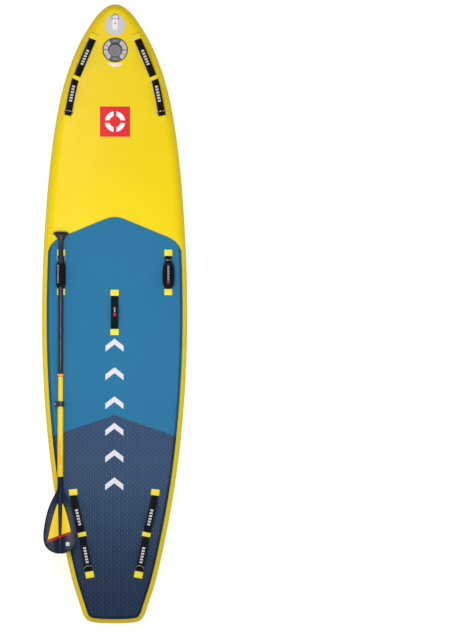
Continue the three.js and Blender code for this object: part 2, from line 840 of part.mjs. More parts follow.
// A strip folded back over a ring's bar: its lower leg lies flat behind the bar, the upper leg on top
function foldedTab(length, width) {
  const inner = ringWire / 2 + gap;
  const outer = inner + webThickness;
  const upperLeg = 2 * webThickness + gap - outer;
  const slot = webThickness + gap - outer;
  const turnedBack = (radius, level) => -Math.SQRT2 * radius + level;
  const profile = [[-length, -outer]];
  for (let i = 0; i <= tabFoldSteps; i += 1) {
    const turn = rad(-90 + (225 * i) / tabFoldSteps);
    profile.push([outer * Math.cos(turn), outer * Math.sin(turn)]);
  }
  profile.push([turnedBack(outer, upperLeg), upperLeg], [-length, upperLeg]);
  profile.push([-length, slot], [turnedBack(inner, slot), slot]);
  for (let i = tabFoldSteps; i >= 0; i -= 1) {
    const turn = rad(-90 + (225 * i) / tabFoldSteps);
    profile.push([inner * Math.cos(turn), inner * Math.sin(turn)]);
  }
  profile.push([-length, -inner]);
  const shape = new THREE.Shape(profile.map(([y, z]) => new THREE.Vector2(y, z)));
  const solid = new THREE.ExtrudeGeometry(shape, { depth: width, bevelEnabled: false });
  const turned = new THREE.Matrix4().makeBasis(
    new THREE.Vector3(0, 1, 0), new THREE.Vector3(0, 0, 1), new THREE.Vector3(1, 0, 0),
  );
  return outward(solid.applyMatrix4(turned).translate(-width / 2, 0, 0));
}

function addNoseFitting(name, side, { patchY, patchRadius, barY, tabLength, colour }) {
  const disc = cylinder(patchRadius, 2 * (hullThickness + noseRocker), 32).rotateX(Math.PI / 2);
  const cutter = manifold(disc.translate(0, patchY, 0));
  add(`${name}_patch`, geometryOf(skin(patchThickness, side, cutter)), material(colour));
  const loopRadius = ringWire / 2 + gap + webThickness;
  const group = seat(0, barY - tabLength / 2, {
    reach: tabLength / 2 + loopRadius, side, lift: 2 * gap + patchThickness + loopRadius,
  });
  const tab = add(`${name}_tab`, foldedTab(tabLength, noseTabWidth), material('patch'), group);
  const ring = add(`${name}_ring`, ringGeometry(noseRingInner), steel, group);
  tab.position.y = tabLength / 2;
  ring.position.y = tabLength / 2;
  ring.rotation.x = -Math.asin((loopRadius - ringWire / 2 - gap) / ringReach);
}

function buildNose() {
  addNoseFitting('nose_deck', 1, {
    patchY: noseY - nosePatchSetback, patchRadius: nosePatchRadius, barY: noseY - noseRingSetback,
    tabLength: noseTabLength, colour: 'nosePatch',
  });
  addNoseFitting('nose_hull', -1, {
    patchY: noseY - noseHullPatchSetback, patchRadius: noseHullPatchRadius,
    barY: noseY - noseHullRingSetback, tabLength: noseHullTabLength, colour: 'patch',
  });
}

// Valve, modelled about the Y of its own frame and stood up on the deck

const valveSeat = seat(0, noseY - valveSetback, { reach: valvePlateRadius });
const valveFrame = new THREE.Group();
valveFrame.rotation.x = Math.PI / 2;
valveSeat.add(valveFrame);

function valvePocket() {
  const radius = valveBarrelRadius + gap;
  const depth = valveDepth + valveStemTravel + valveFloor + 2 * gap;
  board.updateMatrixWorld(true);
  const hole = cylinder(radius, depth + overrun, 32).translate(0, (overrun - depth) / 2, 0);
  return manifold(hole, valveFrame.matrixWorld);
}

function buildValve() {
  const hole = valveFlangeRadius + 2 * gap;
  const rimTop = valvePlateThickness + valvePlateRise;
  const plate = lathe([
    [hole, 0], [valvePlateRadius, 0], [valvePlateRadius, valvePlateThickness],
    [valvePlateRadius - valvePlateRim / 3, rimTop], [valvePlateRadius - valvePlateRim, rimTop],
    [valvePlateRadius - valvePlateRim, valvePlateThickness], [hole + valvePlateRim, valvePlateThickness],
    [hole + valvePlateRim, rimTop], [hole, rimTop], [hole, 0],
  ], 30);
  let spoked = manifold(plate);
  for (let i = 0; i < valveSpokes; i += 1) {
    const arm = block(
      [hole + valvePlateRim / 2, valvePlateThickness / 2, -valveSpokeWidth / 2],
      [valvePlateRadius - valvePlateRim / 2, rimTop, valveSpokeWidth / 2],
    ).rotateY((2 * Math.PI * i) / valveSpokes);
    spoked = spoked.add(manifold(arm));
  }
  add('valve_ring_plate', geometryOf(spoked), material('valvePlate'), valveFrame);

  const seatRadius = valveStemRadius + gap;
  const floorTop = -valveDepth + valveFloor;
  const body = lathe([
    [seatRadius, -valveDepth], [valveBarrelRadius, -valveDepth], [valveBarrelRadius, 0],
    [valveFlangeRadius, 0], [valveFlangeRadius, valveFlangeThickness],
    [valveBoreRadius, valveFlangeThickness], [valveBoreRadius, floorTop + valveFloor / 2],
    [valveBoreRadius - valveFloor / 2, floorTop], [seatRadius, floorTop], [seatRadius, -valveDepth],
  ], 24);
  add('valve_body', body, material('valve'), valveFrame);

  const stemTop = floorTop + valveStemTravel + gap;
  const sealTop = -valveDepth - gap;
  const stem = lathe([
    [0, sealTop - valveFloor / 2], [valveSealRadius, sealTop - valveFloor / 2], [valveSealRadius, sealTop],
    [valveStemRadius, sealTop], [valveStemRadius, stemTop], [valveButtonRadius, stemTop],
    [valveButtonRadius, stemTop + valveButtonHeight * valveButtonShare],
    [valveButtonRadius * valveButtonShare, stemTop + valveButtonHeight], [0, stemTop + valveButtonHeight],
  ], 16);
  add('valve_stem', stem, material('valve'), valveFrame);

  const capBase = valveFlangeThickness + gap;
  const capTop = capBase + valveCapHeight;
  const plug = valveBoreRadius - 2 * gap;
  const plugEnd = capBase - valveCapPlug;
  const cap = lathe([
    [0, plugEnd + valveCapHollow], [plug - valveCapPlugWall, plugEnd + valveCapHollow],
    [plug - valveCapPlugWall, plugEnd], [plug, plugEnd], [plug, capBase], [valveCapRadius, capBase],
    [valveCapRadius, capTop - valveCapBevel], [valveCapRadius - valveCapBevel, capTop],
    [valveCapDishRadius, capTop], [valveCapDishRadius - valveCapDishBevel, capTop - valveCapHollow],
    [0, capTop - valveCapHollow],
  ], 24);
  let ribbed = manifold(cap);
  for (let i = 0; i < valveCapRibs; i += 1) {
    const notch = cylinder(valveCapRibDepth * 2, valveCapHeight * 2, 6)
      .translate(valveCapRadius + valveCapRibDepth / 2, capTop, 0)
      .rotateY((2 * Math.PI * (i + 0.5)) / valveCapRibs);
    ribbed = ribbed.subtract(manifold(notch));
  }
  add('valve_cap', geometryOf(ribbed), material('valve'), valveFrame);
}

// Paddle, modelled along the Y of its own frame

function superellipse(halfWidth, halfHeight, y, count, power) {
  return Array.from({ length: count }, (_, i) => {
    const turn = (2 * Math.PI * i) / count;
    const [c, s] = [Math.cos(turn), Math.sin(turn)];
    const x = halfWidth * Math.sign(c) * Math.abs(c) ** (2 / power);
    const z = halfHeight * Math.sign(s) * Math.abs(s) ** (2 / power);
    return new THREE.Vector3(x, y, z);
  });
}

function gripGeometry() {
  const spigot = upperShaftRadius - shaftWall - gap;
  const rings = [
    superellipse(spigot, spigot, gripNeck - spigotLength, 20, 2),
    superellipse(spigot, spigot, gripNeck, 20, 2),
    ...gripShares.map(([along, wide, thick]) => superellipse(
      gripHalfWidth * wide, gripHalfThickness * thick, gripNeck + (gripEnd - gripNeck) * along, 20,
      2 + along / 2,
    )),
  ];
  return loft(rings);
}

function bladeSection(y, { halfWidth, round, rise }) {
  const spine = (face) => (face > 0 ? bladeSpine : bladeSpine * bladeBackSpineShare);
  const point = (share, face) => {
    const circle = lowerShaftRadius * Math.sqrt(1 - share ** 2);
    const x = share * halfWidth;
    const ridge = Math.exp(-((x / bladeSpineReach) ** 2)) * spine(face);
    const flat = Math.sqrt(1 - share ** 8) * (bladeEdge / 2 + ridge);
    return new THREE.Vector3(x, y, rise + face * (round * circle + (1 - round) * flat));
  };
  return [...bladeSectionShares.map((s) => point(s, 1)), ...bladeSectionShares.map((s) => point(-s, -1))];
}

function bladeGeometry() {
  const spigot = lowerShaftRadius - shaftWall - gap;
  const neck = lowerShaftEnd - gap;
  const share = spigot / lowerShaftRadius;
  const inside = [lowerShaftEnd + spigotLength, neck].map((y) => (
    bladeSection(y, { halfWidth: lowerShaftRadius, round: 1, rise: 0 }).map(
      (p) => new THREE.Vector3(p.x * share, p.y, p.z * share),
    )
  ));
  const rings = [
    ...inside,
    bladeSection(neck, { halfWidth: lowerShaftRadius, round: 1, rise: 0 }),
    bladeSection(bladeStart, { halfWidth: lowerShaftRadius, round: 0.95, rise: 0 }),
  ];
  const slope = Math.tan(rad(bladeDegrees));
  for (const [along, wide] of bladeShares) {
    const y = bladeStart + (bladeEnd - bladeStart) * along;
    const round = 0.8 * Math.max(0, 1 - along * 4) ** 2;
    rings.push(bladeSection(y, { halfWidth: bladeHalfWidth * wide, round, rise: (bladeStart - y) * slope }));
  }
  return loft(rings);
}

function clampGeometry() {
  const inner = lowerShaftRadius + gap;
  const rear = clampFront - clampLength;
  let band = manifold(tube(inner, clampRadius, rear, clampFront, 28));
  const lug = leverBossRadius;
  const lugs = [[rear, rear + clampLugThickness], [clampFront - clampLugThickness, clampFront]];
  for (const [from, to] of lugs) {
    const arm = block([-leverPivotX, from, -lug], [clampLugBite - clampRadius, to, lug]);
    const eye = cylinder(lug, to - from, 16).translate(-leverPivotX, (from + to) / 2, 0);
    band = band.add(manifold(arm)).add(manifold(eye));
  }
  const pin = cylinder(leverPinRadius, clampLength - clampLugThickness, 12);
  band = band.add(manifold(pin.translate(-leverPivotX, (rear + clampFront) / 2, 0)));
  const bore = cylinder(inner, clampLength + overrun, 28).translate(0, clampFront - clampLength / 2, 0);
  return geometryOf(band.subtract(manifold(bore)));
}

function leverGeometry() {
  const inner = clampRadius + 2 * gap;
  const outer = inner + leverThickness;
  const shape = new THREE.Shape();
  shape.absarc(0, 0, outer, rad(leverArcStart), rad(leverArcEnd), false);
  shape.absarc(0, 0, inner, rad(leverArcEnd), rad(leverArcStart), true);
  shape.closePath();
  const width = leverLength;
  const middle = clampFront - clampLength / 2;
  const stand = new THREE.Matrix4().makeBasis(
    new THREE.Vector3(1, 0, 0), new THREE.Vector3(0, 0, 1), new THREE.Vector3(0, -1, 0),
  );
  const arc = new THREE.ExtrudeGeometry(shape, { depth: width, bevelEnabled: false, curveSegments: 9 })
    .applyMatrix4(stand).translate(0, middle + width / 2, 0);
  const boss = cylinder(leverBossRadius, width, 16).translate(-leverPivotX, middle, 0);
  const eye = cylinder(leverPinRadius + gap, width + overrun, 12).translate(-leverPivotX, middle, 0);
  const band = cylinder(inner, width + overrun, 30).translate(0, middle, 0);
  return geometryOf(manifold(arc).add(manifold(boss)).subtract(manifold(eye)).subtract(manifold(band)));
}

function buildPaddle() {
  const held = seat(-sideHandleX - paddleAside, cuffMiddleY, {
    reach: cuffLength / 2, lift: padLift + gap + paddleAxisHeight,
  });
  const frame = new THREE.Group();
  frame.rotation.x = rad(-paddleTiltDegrees);
  frame.translateY(-cuffMiddleY);
  held.add(frame);
  const upperInner = upperShaftRadius - shaftWall;
  const lowerInner = lowerShaftRadius - shaftWall;
  const extensionRadius = lowerInner - shaftRunningGap;
  const collarRear = collarFront - collarLength;
  const joint = (collarFront + collarRear) / 2;
  add('paddle_grip', gripGeometry(), material('shaftBlack'), frame);
  const upper = tube(upperInner, upperShaftRadius, joint + gap, gripNeck - gap);
  add('paddle_upper_shaft', upper, material('shaftBlack'), frame);
  add('paddle_collar', lathe([
    [extensionRadius + gap, collarRear], [collarRadius, collarRear + collarBevel],
    [collarRadius, collarFront - collarBevel], [collarRadius - collarLip, collarFront],
    [extensionRadius + gap, collarFront], [extensionRadius + gap, collarRear],
  ]), material('collar'), frame);
  add('paddle_extension_tube', lathe([
    [upperInner - gap, joint + spigotLength], [upperInner - gap, joint], [extensionRadius, joint],
    [extensionRadius, clampFront - tubeOverlap], [extensionRadius - shaftWall, clampFront - tubeOverlap],
    [extensionRadius - shaftWall, joint - spigotLength], [upperInner - gap - shaftWall, joint],
    [upperInner - gap - shaftWall, joint + spigotLength], [upperInner - gap, joint + spigotLength],
  ]), material('paddleYellow'), frame);
  const lower = tube(lowerInner, lowerShaftRadius, lowerShaftEnd, clampFront);
  add('paddle_lower_shaft', lower, material('paddleYellow'), frame);
  add('paddle_clamp_band', clampGeometry(), material('clamp'), frame);
  add('paddle_clamp_lever', leverGeometry(), material('clamp'), frame);
  add('paddle_blade', bladeGeometry(), material('blade'), frame);
}

// Fins

// A pointed oval in a plane at one depth: X across, Y along the fin
function leafRing(length, width, depth, shift, count, power) {
  return Array.from({ length: count }, (_, i) => {
    const turn = (2 * Math.PI * i) / count;
    const across = Math.sin(turn);
    return new THREE.Vector3(
      (width / 2) * Math.sign(across) * Math.abs(across) ** power,
      shift + (length / 2) * Math.cos(turn),
      depth,
    );
  });
}

function finGeometry() {
  const tabTop = finBaseHeight - finTabDepth;
  const free = finDepth - finBaseHeight;
  const rings = [
    leafRing(finTabLength, finTabThickness, tabTop, 0, 18, 0.6),
    leafRing(finTabLength, finTabThickness, finBaseHeight, 0, 18, 0.6),
    ...finShares.map(([down, back, chord, thick]) => leafRing(
      Math.max(finTabLength * chord, finTipChord), finThickness * thick,
      finBaseHeight + free * down, -(finTipBehind - finTipChord / 2) * back, 18, 0.8,
    )),
  ];
  return loft(rings);
}

function finBaseGeometry() {
  const base = manifold(loft(finBaseShares.map(([long, high]) => leafRing(
    finBaseLength * long, finBaseWidth * long ** 2, finBaseHeight * high, 0, 20, 1.25,
  ))));
  const grown = [finBaseHeight - finTabDepth - gap, finBaseHeight + overrun].map(
    (depth) => leafRing(finTabLength + 2 * gap, finTabThickness + 2 * gap, depth, 0, 18, 0.6),
  );
  return base.subtract(manifold(loft(grown)));
}

function addFin(name, side) {
  const group = seat(side * finX, finY, {
    headingDegrees: side * finToeDegrees, reach: finBaseLength / 2, side: -1,
  });
  const reach = finBaseWidth / 2;
  const pinDepth = finBaseHeight - finTabDepth / 2;
  const across = (radius, length) => cylinder(radius, length, 14).rotateZ(Math.PI / 2)
    .translate(0, -finPinBehind, pinDepth);
  const bore = manifold(across(finPinRadius + finPinClear, finBaseWidth + overrun));
  add(`${name}_base`, geometryOf(finBaseGeometry().subtract(bore)), material('fin'), group);
  add(name, geometryOf(manifold(finGeometry()).subtract(bore)), material('fin'), group);
  const pin = lathe([
    [0, -reach / 2], [finPinRadius, -reach / 2], [finPinRadius, reach], [finPinHeadRadius, reach],
    [finPinHeadRadius, reach + finPinHeadLength], [0, reach + finPinHeadLength],
  ], 14).rotateZ((-side * Math.PI) / 2).translate(0, -finPinBehind, pinDepth);
  add(`${name}_pin`, pin, steel, group);
}

// Assembly

const hull = manifold(hullBody(0)).subtract(valvePocket());
add('hull', geometryOf(hull), material('hull'));
buildPads();
buildValve();
buildNose();
for (const [word, side] of [['left', -1], ['right', 1]]) {
  addGrabStrap(`front_${word}_grab`, side, frontGrabShares, 0);
  addGrabStrap(`rear_${word}_grab`, side, rearGrabShares, padLift);
  addFin(`${word}_fin`, side);
}
buildHandles();
buildPaddle();

// Set the board down: its lowest point goes to zero height
board.updateMatrixWorld(true);
board.position.z = -new THREE.Box3().setFromObject(board, true).min.z;

export default board;
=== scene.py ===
# %% [markdown]
# The object is an inflatable rescue board: a stiff air-filled body with a foam deck pad, straps,
# a valve, two fins and a paddle stowed along its left rail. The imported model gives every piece
# its true size and place. This lesson gives each piece the surface that it has on the real board.

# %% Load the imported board
import json
import math
from functools import reduce

import bmesh
import bpy
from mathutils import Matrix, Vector


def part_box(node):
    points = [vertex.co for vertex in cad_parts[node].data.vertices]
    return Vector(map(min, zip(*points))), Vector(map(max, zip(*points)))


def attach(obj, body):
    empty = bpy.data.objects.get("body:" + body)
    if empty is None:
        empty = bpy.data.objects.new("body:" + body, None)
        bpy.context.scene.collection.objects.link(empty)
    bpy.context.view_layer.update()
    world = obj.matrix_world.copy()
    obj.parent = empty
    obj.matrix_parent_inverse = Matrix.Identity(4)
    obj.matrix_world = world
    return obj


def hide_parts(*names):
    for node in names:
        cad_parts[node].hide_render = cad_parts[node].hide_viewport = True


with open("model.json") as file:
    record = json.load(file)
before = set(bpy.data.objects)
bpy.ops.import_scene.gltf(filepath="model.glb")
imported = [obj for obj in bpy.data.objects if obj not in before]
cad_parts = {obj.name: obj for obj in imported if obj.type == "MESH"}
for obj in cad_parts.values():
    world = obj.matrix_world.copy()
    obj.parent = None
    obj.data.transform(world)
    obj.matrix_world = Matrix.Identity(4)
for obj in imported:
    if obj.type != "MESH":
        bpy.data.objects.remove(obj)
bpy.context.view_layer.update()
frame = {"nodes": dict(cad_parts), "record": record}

# %% [markdown]
# The board is curved along its length. Nose and tail rise as parabolas from a flat middle, and
# the whole board slopes a little because it rests on its fins. One function of the place along
# the board gives the height of the bottom. Meshes call it with a number, and materials call it
# with a value of their own, so the two can't drift apart.

# %% The board's long curve
REST_SLOPE = 0.04185
REST_HEIGHT = 0.03103
NOSE_START, NOSE_RISE = 0.62, 0.28
TAIL_START, TAIL_RISE = 0.80, 0.08
HALF_LENGTH = 1.829
THICKNESS = 0.15
nose_bend = NOSE_RISE / (HALF_LENGTH - NOSE_START) ** 2
tail_bend = TAIL_RISE / (HALF_LENGTH - TAIL_START) ** 2


def bottom_height(y, larger=max):
    nose = larger(y - NOSE_START, 0)
    tail = larger(0 - y - TAIL_START, 0)
    return REST_HEIGHT - y * REST_SLOPE + nose * nose * nose_bend + tail * tail * tail_bend


print("deck height in the middle:", round(bottom_height(0) + THICKNESS, 4))

# %% [markdown]
# A material's pattern is a sum that is worked out at every point of the surface. In Blender each
# step of it is a Math node, and a long sum becomes a wide net of them. It reads better as an
# ordinary expression. This small class wraps a socket of a node tree, and every operator adds its
# own node.

# %% Sums on sockets


class Value:
    """A number that a material works out at every point."""

    def __init__(self, paint, socket):
        self.paint = paint
        self.socket = socket

    def maths(self, operation, *terms):
        return self.paint.node("ShaderNodeMath", {"operation": operation}, dict(enumerate(terms)))

    def __add__(self, other):
        return self.maths("ADD", self, other)

    __radd__ = __add__

    def __sub__(self, other):
        return self.maths("SUBTRACT", self, other)

    def __rsub__(self, other):
        return self.maths("SUBTRACT", other, self)

    def __mul__(self, other):
        return self.maths("MULTIPLY", self, other)

    __rmul__ = __mul__

    def __truediv__(self, other):
        return self.maths("DIVIDE", self, other)

    def __rtruediv__(self, other):
        return self.maths("DIVIDE", other, self)

    def __pow__(self, other):
        return self.maths("POWER", self, other)

    def __rpow__(self, other):
        return self.maths("POWER", other, self)

    def __gt__(self, other):
        return self.maths("GREATER_THAN", self, other)

    def __lt__(self, other):
        return self.maths("LESS_THAN", self, other)

    def __abs__(self):
        return self.maths("ABSOLUTE", self)

    def sine(self):
        return self.maths("SINE", self)

    def angle_from(self, other):
        return self.maths("ARCTAN2", self, other)

    def whole(self):
        return self.maths("FLOOR", self)

    def cycle(self):
        """The part after the whole number, which repeats from 0 to 1."""
        return self.maths("FLOORED_MODULO", self, 1)

    def least(self, other):
        return self.maths("MINIMUM", self, other)

    def most(self, other):
        return self.maths("MAXIMUM", self, other)

    def soft_step(self, low, high):
        settings = {"interpolation_type": "SMOOTHSTEP"}
        inputs = {"Value": self, "From Min": low, "From Max": high}
        return self.paint.node("ShaderNodeMapRange", settings, inputs)

    def past(self, edge, soft):
        """0 before an edge and 1 after it."""
        return self.soft_step(edge - soft, edge + soft)

    def band(self, middle, half, soft):
        """1 in a band on both sides of a middle."""
        return self.past(middle - half, soft) * (1 - self.past(middle + half, soft))

    def dashed(self, pitch, share):
        """1 in dashes that repeat at a pitch and fill a share of it."""
        return (self / pitch).cycle() < share


# %% [markdown]
# Three shapes come back in many of the board's marks and weaves: the distance from a centre, a
# rectangle, and a grid of small humps. They are written once.

# %% Shapes that come back


def from_centre(across, along):
    return (across * across + along * along) ** 0.5


def within(x, y, centre, half):
    """1 inside a rectangle, given by its centre and its two half lengths."""
    return (abs(x - centre[0]) < half[0]) * (abs(y - centre[1]) < half[1])


def humps(x, y, pitch_x, pitch_y):
    return abs((x / pitch_x).sine()) * abs((y / pitch_y).sine())


# %% [markdown]
# A material starts as one Principled shader of one colour, and further colours are laid over it
# one by one, as on the real board. The helper adds any node from its type, its settings and its
# inputs, and joins a height to the Normal through a Bump node. A Mix node has sockets for every
# kind of data, and those for colours are its inputs 6 and 7 and its output 2.

# %% A material to paint on
MIX_FACTOR, MIX_FIRST, MIX_SECOND, MIX_RESULT = 0, 6, 7, 2


class Nodes:
    def __init__(self, tree):
        self.tree = tree

    def node(self, kind, settings=None, inputs=None, output=0):
        made = self.tree.nodes.new(kind)
        for key, value in (settings or {}).items():
            setattr(made, key, value)
        for key, value in (inputs or {}).items():
            self.join(value, made.inputs[key])
        return Value(self, made.outputs[output]) if made.outputs else None

    def join(self, value, socket):
        if isinstance(value, Value):
            self.tree.links.new(value.socket, socket)
        else:
            socket.default_value = value

    def parts(self, vector):
        split = self.node("ShaderNodeSeparateXYZ", None, {0: vector})
        return [Value(self, socket) for socket in split.socket.node.outputs]

    def place(self):
        """The point on the board, and how far it lies across, along and up."""
        point = self.node("ShaderNodeTexCoord", output="Object")
        return point, *self.parts(point)

    def up(self):
        return self.parts(self.node("ShaderNodeNewGeometry", output="Normal"))[2]

    def attribute(self, name, output="Fac"):
        return self.node("ShaderNodeAttribute", {"attribute_name": name}, output=output)

    def noise(self, point, scale, detail=3, roughness=0.5):
        inputs = {"Vector": point, "Scale": scale, "Detail": detail, "Roughness": roughness}
        return self.node("ShaderNodeTexNoise", None, inputs)

    def blend(self, mask, first, second):
        inputs = {MIX_FACTOR: mask, MIX_FIRST: first, MIX_SECOND: second}
        return self.node("ShaderNodeMix", {"data_type": "RGBA"}, inputs, MIX_RESULT)


class Paint(Nodes):
    def __init__(self, name, colour, **sockets):
        self.material = bpy.data.materials.new(name)
        self.material.use_nodes = True
        super().__init__(self.material.node_tree)
        self.shader = self.tree.nodes["Principled BSDF"]
        self.colour = colour
        self.set(Base_Color=colour, **sockets)

    def set(self, **sockets):
        for socket, value in sockets.items():
            self.join(value, self.shader.inputs[socket.replace("_", " ")])

    def over(self, mask, colour):
        """Lay a colour over what is there, by a mask."""
        self.colour = self.blend(mask, self.colour, colour)
        self.set(Base_Color=self.colour)

    def bump(self, height, distance, strength):
        inputs = {"Height": height, "Distance": distance, "Strength": strength}
        self.set(Normal=self.node("ShaderNodeBump", None, inputs))
        print(self.material.name, "nodes:", len(self.tree.nodes))


def srgb(red, green, blue):
    """Blender's linear colour for a screen colour from 0 to 255."""
    shares = [number / 255 for number in (red, green, blue)]
    return (*[((s + 0.055) / 1.055) ** 2.4 if s > 0.04045 else s / 12.92 for s in shares], 1)


# %% [markdown]
# The camera hangs above the board and looks straight down, as in the photograph. A long lens
# keeps the nose and the tail, which stand higher than the middle, at nearly the same scale. The
# camera is turned a little to the side, so the board lands in the left part of the picture.

# %% Camera
PICTURE = (474, 632)
METRES_PER_PIXEL = 0.005917
BOARD_PIXEL = (114.6, 314.1)
BOARD_LEAN = math.radians(0.115)
CAMERA_HEIGHT = 30.0
AIM_HEIGHT = 0.25
SENSOR = 36
FAR_LIMIT = 200
aside = (PICTURE[0] / 2 - BOARD_PIXEL[0]) * METRES_PER_PIXEL
below = (BOARD_PIXEL[1] - PICTURE[1] / 2) * METRES_PER_PIXEL
camera_data = bpy.data.cameras.new("camera")
camera_data.sensor_width = SENSOR
camera_data.lens = SENSOR * CAMERA_HEIGHT / (PICTURE[1] * METRES_PER_PIXEL)
camera_data.clip_end = FAR_LIMIT
camera = bpy.data.objects.new("camera", camera_data)
camera.location = (0, 0, CAMERA_HEIGHT + AIM_HEIGHT)
aim = Vector((aside, below, AIM_HEIGHT)) - camera.location
camera.rotation_euler = (math.atan2(aim.y, -aim.z), -math.atan2(aim.x, -aim.z), BOARD_LEAN)
scene = bpy.context.scene
scene.collection.objects.link(camera)
scene.camera = camera
scene.view_settings.view_transform = "Standard"
print("lens:", round(camera_data.lens, 1), "mm")

# %% [markdown]
# The board lies before pure white, under an even sky. A white as bright as that would also light
# the board and hang in its gloss as a veil. So the world has two strengths: the camera sees full
# white, mirrored rays see half of it, and the light that falls on the board is softer.

# %% Sky
WHITE, BLACK = (1, 1, 1, 1), (0, 0, 0, 1)
MIRROR_SHARE = 0.5
SKY_LIGHT = 0.55


def watched(nodes):
    """1 for rays from the camera or through glass, less for mirrored ones."""
    rays = nodes.node("ShaderNodeLightPath").socket.node.outputs
    names = ("Is Camera Ray", "Is Glossy Ray", "Is Transmission Ray")
    camera_ray, glossy, glass = [Value(nodes, rays[name]) for name in names]
    return camera_ray.most(glass).most(glossy * MIRROR_SHARE)


world = bpy.data.worlds.new("studio")
scene.world = world
world.use_nodes = True
sky = Nodes(world.node_tree)
sky.tree.nodes.clear()
even = sky.node("ShaderNodeBackground", None, {"Color": WHITE, "Strength": SKY_LIGHT})
backdrop = sky.node("ShaderNodeBackground", None, {"Color": WHITE, "Strength": 1.0})
sky_seen = sky.node("ShaderNodeMixShader", None, {0: watched(sky), 1: even, 2: backdrop})
sky.node("ShaderNodeOutputWorld", None, {"Surface": sky_seen})
print("sky nodes:", len(sky.tree.nodes))

# %% [markdown]
# One wide lamp stands above the middle of the board. Mirrors don't see it, because its image
# would lie on the flat deck. A long narrow lamp draws the highlight on the paddle, and a slim
# strip that only mirrors see sharpens it. The last lamp shines up on the underside. A lamp that
# shines straight down needs a hair of tilt, so that its long side lies along the board.

# %% Lamps
PADDLE_X = -0.32
TILT = 0.001


def lamp(name, place, target, size, power, mirrored=False, lights=True):
    data = bpy.data.lights.new(name, "AREA")
    data.shape = "RECTANGLE"
    data.size, data.size_y = size
    data.energy = power
    made = bpy.data.objects.new(name, data)
    made.location = place
    made.rotation_euler = (Vector(target) - Vector(place)).to_track_quat("-Z", "Y").to_euler()
    made.visible_glossy = mirrored
    made.visible_diffuse = lights
    scene.collection.objects.link(made)
    print(name, power, "W")


lamp("lamp_wide", place=(-0.2, 0.15, 2.75), target=(0, 0.1, 0.2), size=(1.4, 1.4), power=25)
lamp("lamp_narrow", place=(PADDLE_X, -0.1, 2.2), target=(PADDLE_X, TILT - 0.1, 0),
     size=(0.5, 1.5), power=9, mirrored=True)
lamp("lamp_strip", place=(PADDLE_X, 0, 2.2), target=(PADDLE_X, TILT, 0),
     size=(0.16, 1.7), power=14, mirrored=True, lights=False)
lamp("lamp_below", place=(0, 0, -2.0), target=(0, TILT, 0), size=(1.5, 3.4), power=26)

# %% [markdown]
# A wide sheet under the fins keeps a soft shadow. It glows for the camera, so that it is as white
# as the sky. From below it is clear, and so it is for the light of the lamp there, because the
# underside of the board is looked at too. A Mix Shader swaps the sheet for clear glass on its
# back face.

# %% Floor
FLOOR_REACH = 60
FLOOR_DROP = 0.001
FLOOR_GREY = (0.7, 0.7, 0.7, 1)
FLOOR_GLOW = 0.68
floor_mesh = bpy.data.meshes.new("floor")
bm = bmesh.new()
bmesh.ops.create_grid(bm, x_segments=1, y_segments=1, size=FLOOR_REACH)
bmesh.ops.translate(bm, vec=(0, 0, -FLOOR_DROP), verts=bm.verts)
bm.to_mesh(floor_mesh)
bm.free()
floor = bpy.data.objects.new("floor", floor_mesh)
scene.collection.objects.link(floor)

floor_paint = Paint("floor", FLOOR_GREY, Roughness=0.9, Emission_Strength=FLOOR_GLOW)
floor_paint.set(Emission_Color=floor_paint.blend(watched(floor_paint), BLACK, WHITE))
back_face = floor_paint.node("ShaderNodeNewGeometry", output="Backfacing")
to_lamp = floor_paint.node("ShaderNodeLightPath", output="Is Shadow Ray")
clear = floor_paint.node("ShaderNodeBsdfTransparent")
shown = Value(floor_paint, floor_paint.shader.outputs[0])
sides = {0: back_face.most(to_lamp), 1: shown, 2: clear}
one_sided = floor_paint.node("ShaderNodeMixShader", None, sides)
floor_paint.join(one_sided, floor_paint.tree.nodes["Material Output"].inputs["Surface"])
floor_mesh.materials.append(floor_paint.material)
print("floor:", 2 * FLOOR_REACH, "m wide")

# %% [markdown]
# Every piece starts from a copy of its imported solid, so its size and place are right from the
# start. The solid's mesh is loose triangles. The copy merges their shared points and joins the
# triangles of each flat area to one face, because a bevel needs whole faces with sharp edges
# between them.

# %% A copy of a solid
SAME_POINT = 2e-6


def solid_copy(node, flat=0.2):
    """The solid of a node, with areas flatter than an angle in degrees joined."""
    bm = bmesh.new()
    bm.from_mesh(frame["nodes"][node].data)
    bmesh.ops.remove_doubles(bm, verts=bm.verts, dist=SAME_POINT)
    bmesh.ops.dissolve_limit(bm, angle_limit=math.radians(flat), verts=bm.verts, edges=bm.edges)
    bm.normal_update()
    return bm


# %% [markdown]
# No real edge is perfectly sharp: fabric is cut and welded, and plastic comes round from its
# mould. A small bevel on every sharp edge catches the light as those do. The valve's pieces need
# more, because a circle of the solid has straight sides that a bevel would keep. Each side is cut
# in four there, and its new points move out to the true circle.

# %% Soft edges and true circles
BEVEL_SEGMENTS = 2
CIRCLE_CUTS = 3
SAME_LEVEL = 2e-5


def soften(bm, radius, above=35):
    """Bevel the edges that are sharper than an angle in degrees."""
    limit = math.radians(above)
    sharp = [e for e in bm.edges if len(e.link_faces) == 2 and e.calc_face_angle() > limit]
    bmesh.ops.bevel(
        bm, geom=sharp, offset=radius, offset_type="OFFSET", segments=BEVEL_SEGMENTS,
        profile=0.5, affect="EDGES", clamp_overlap=True, material=-1)


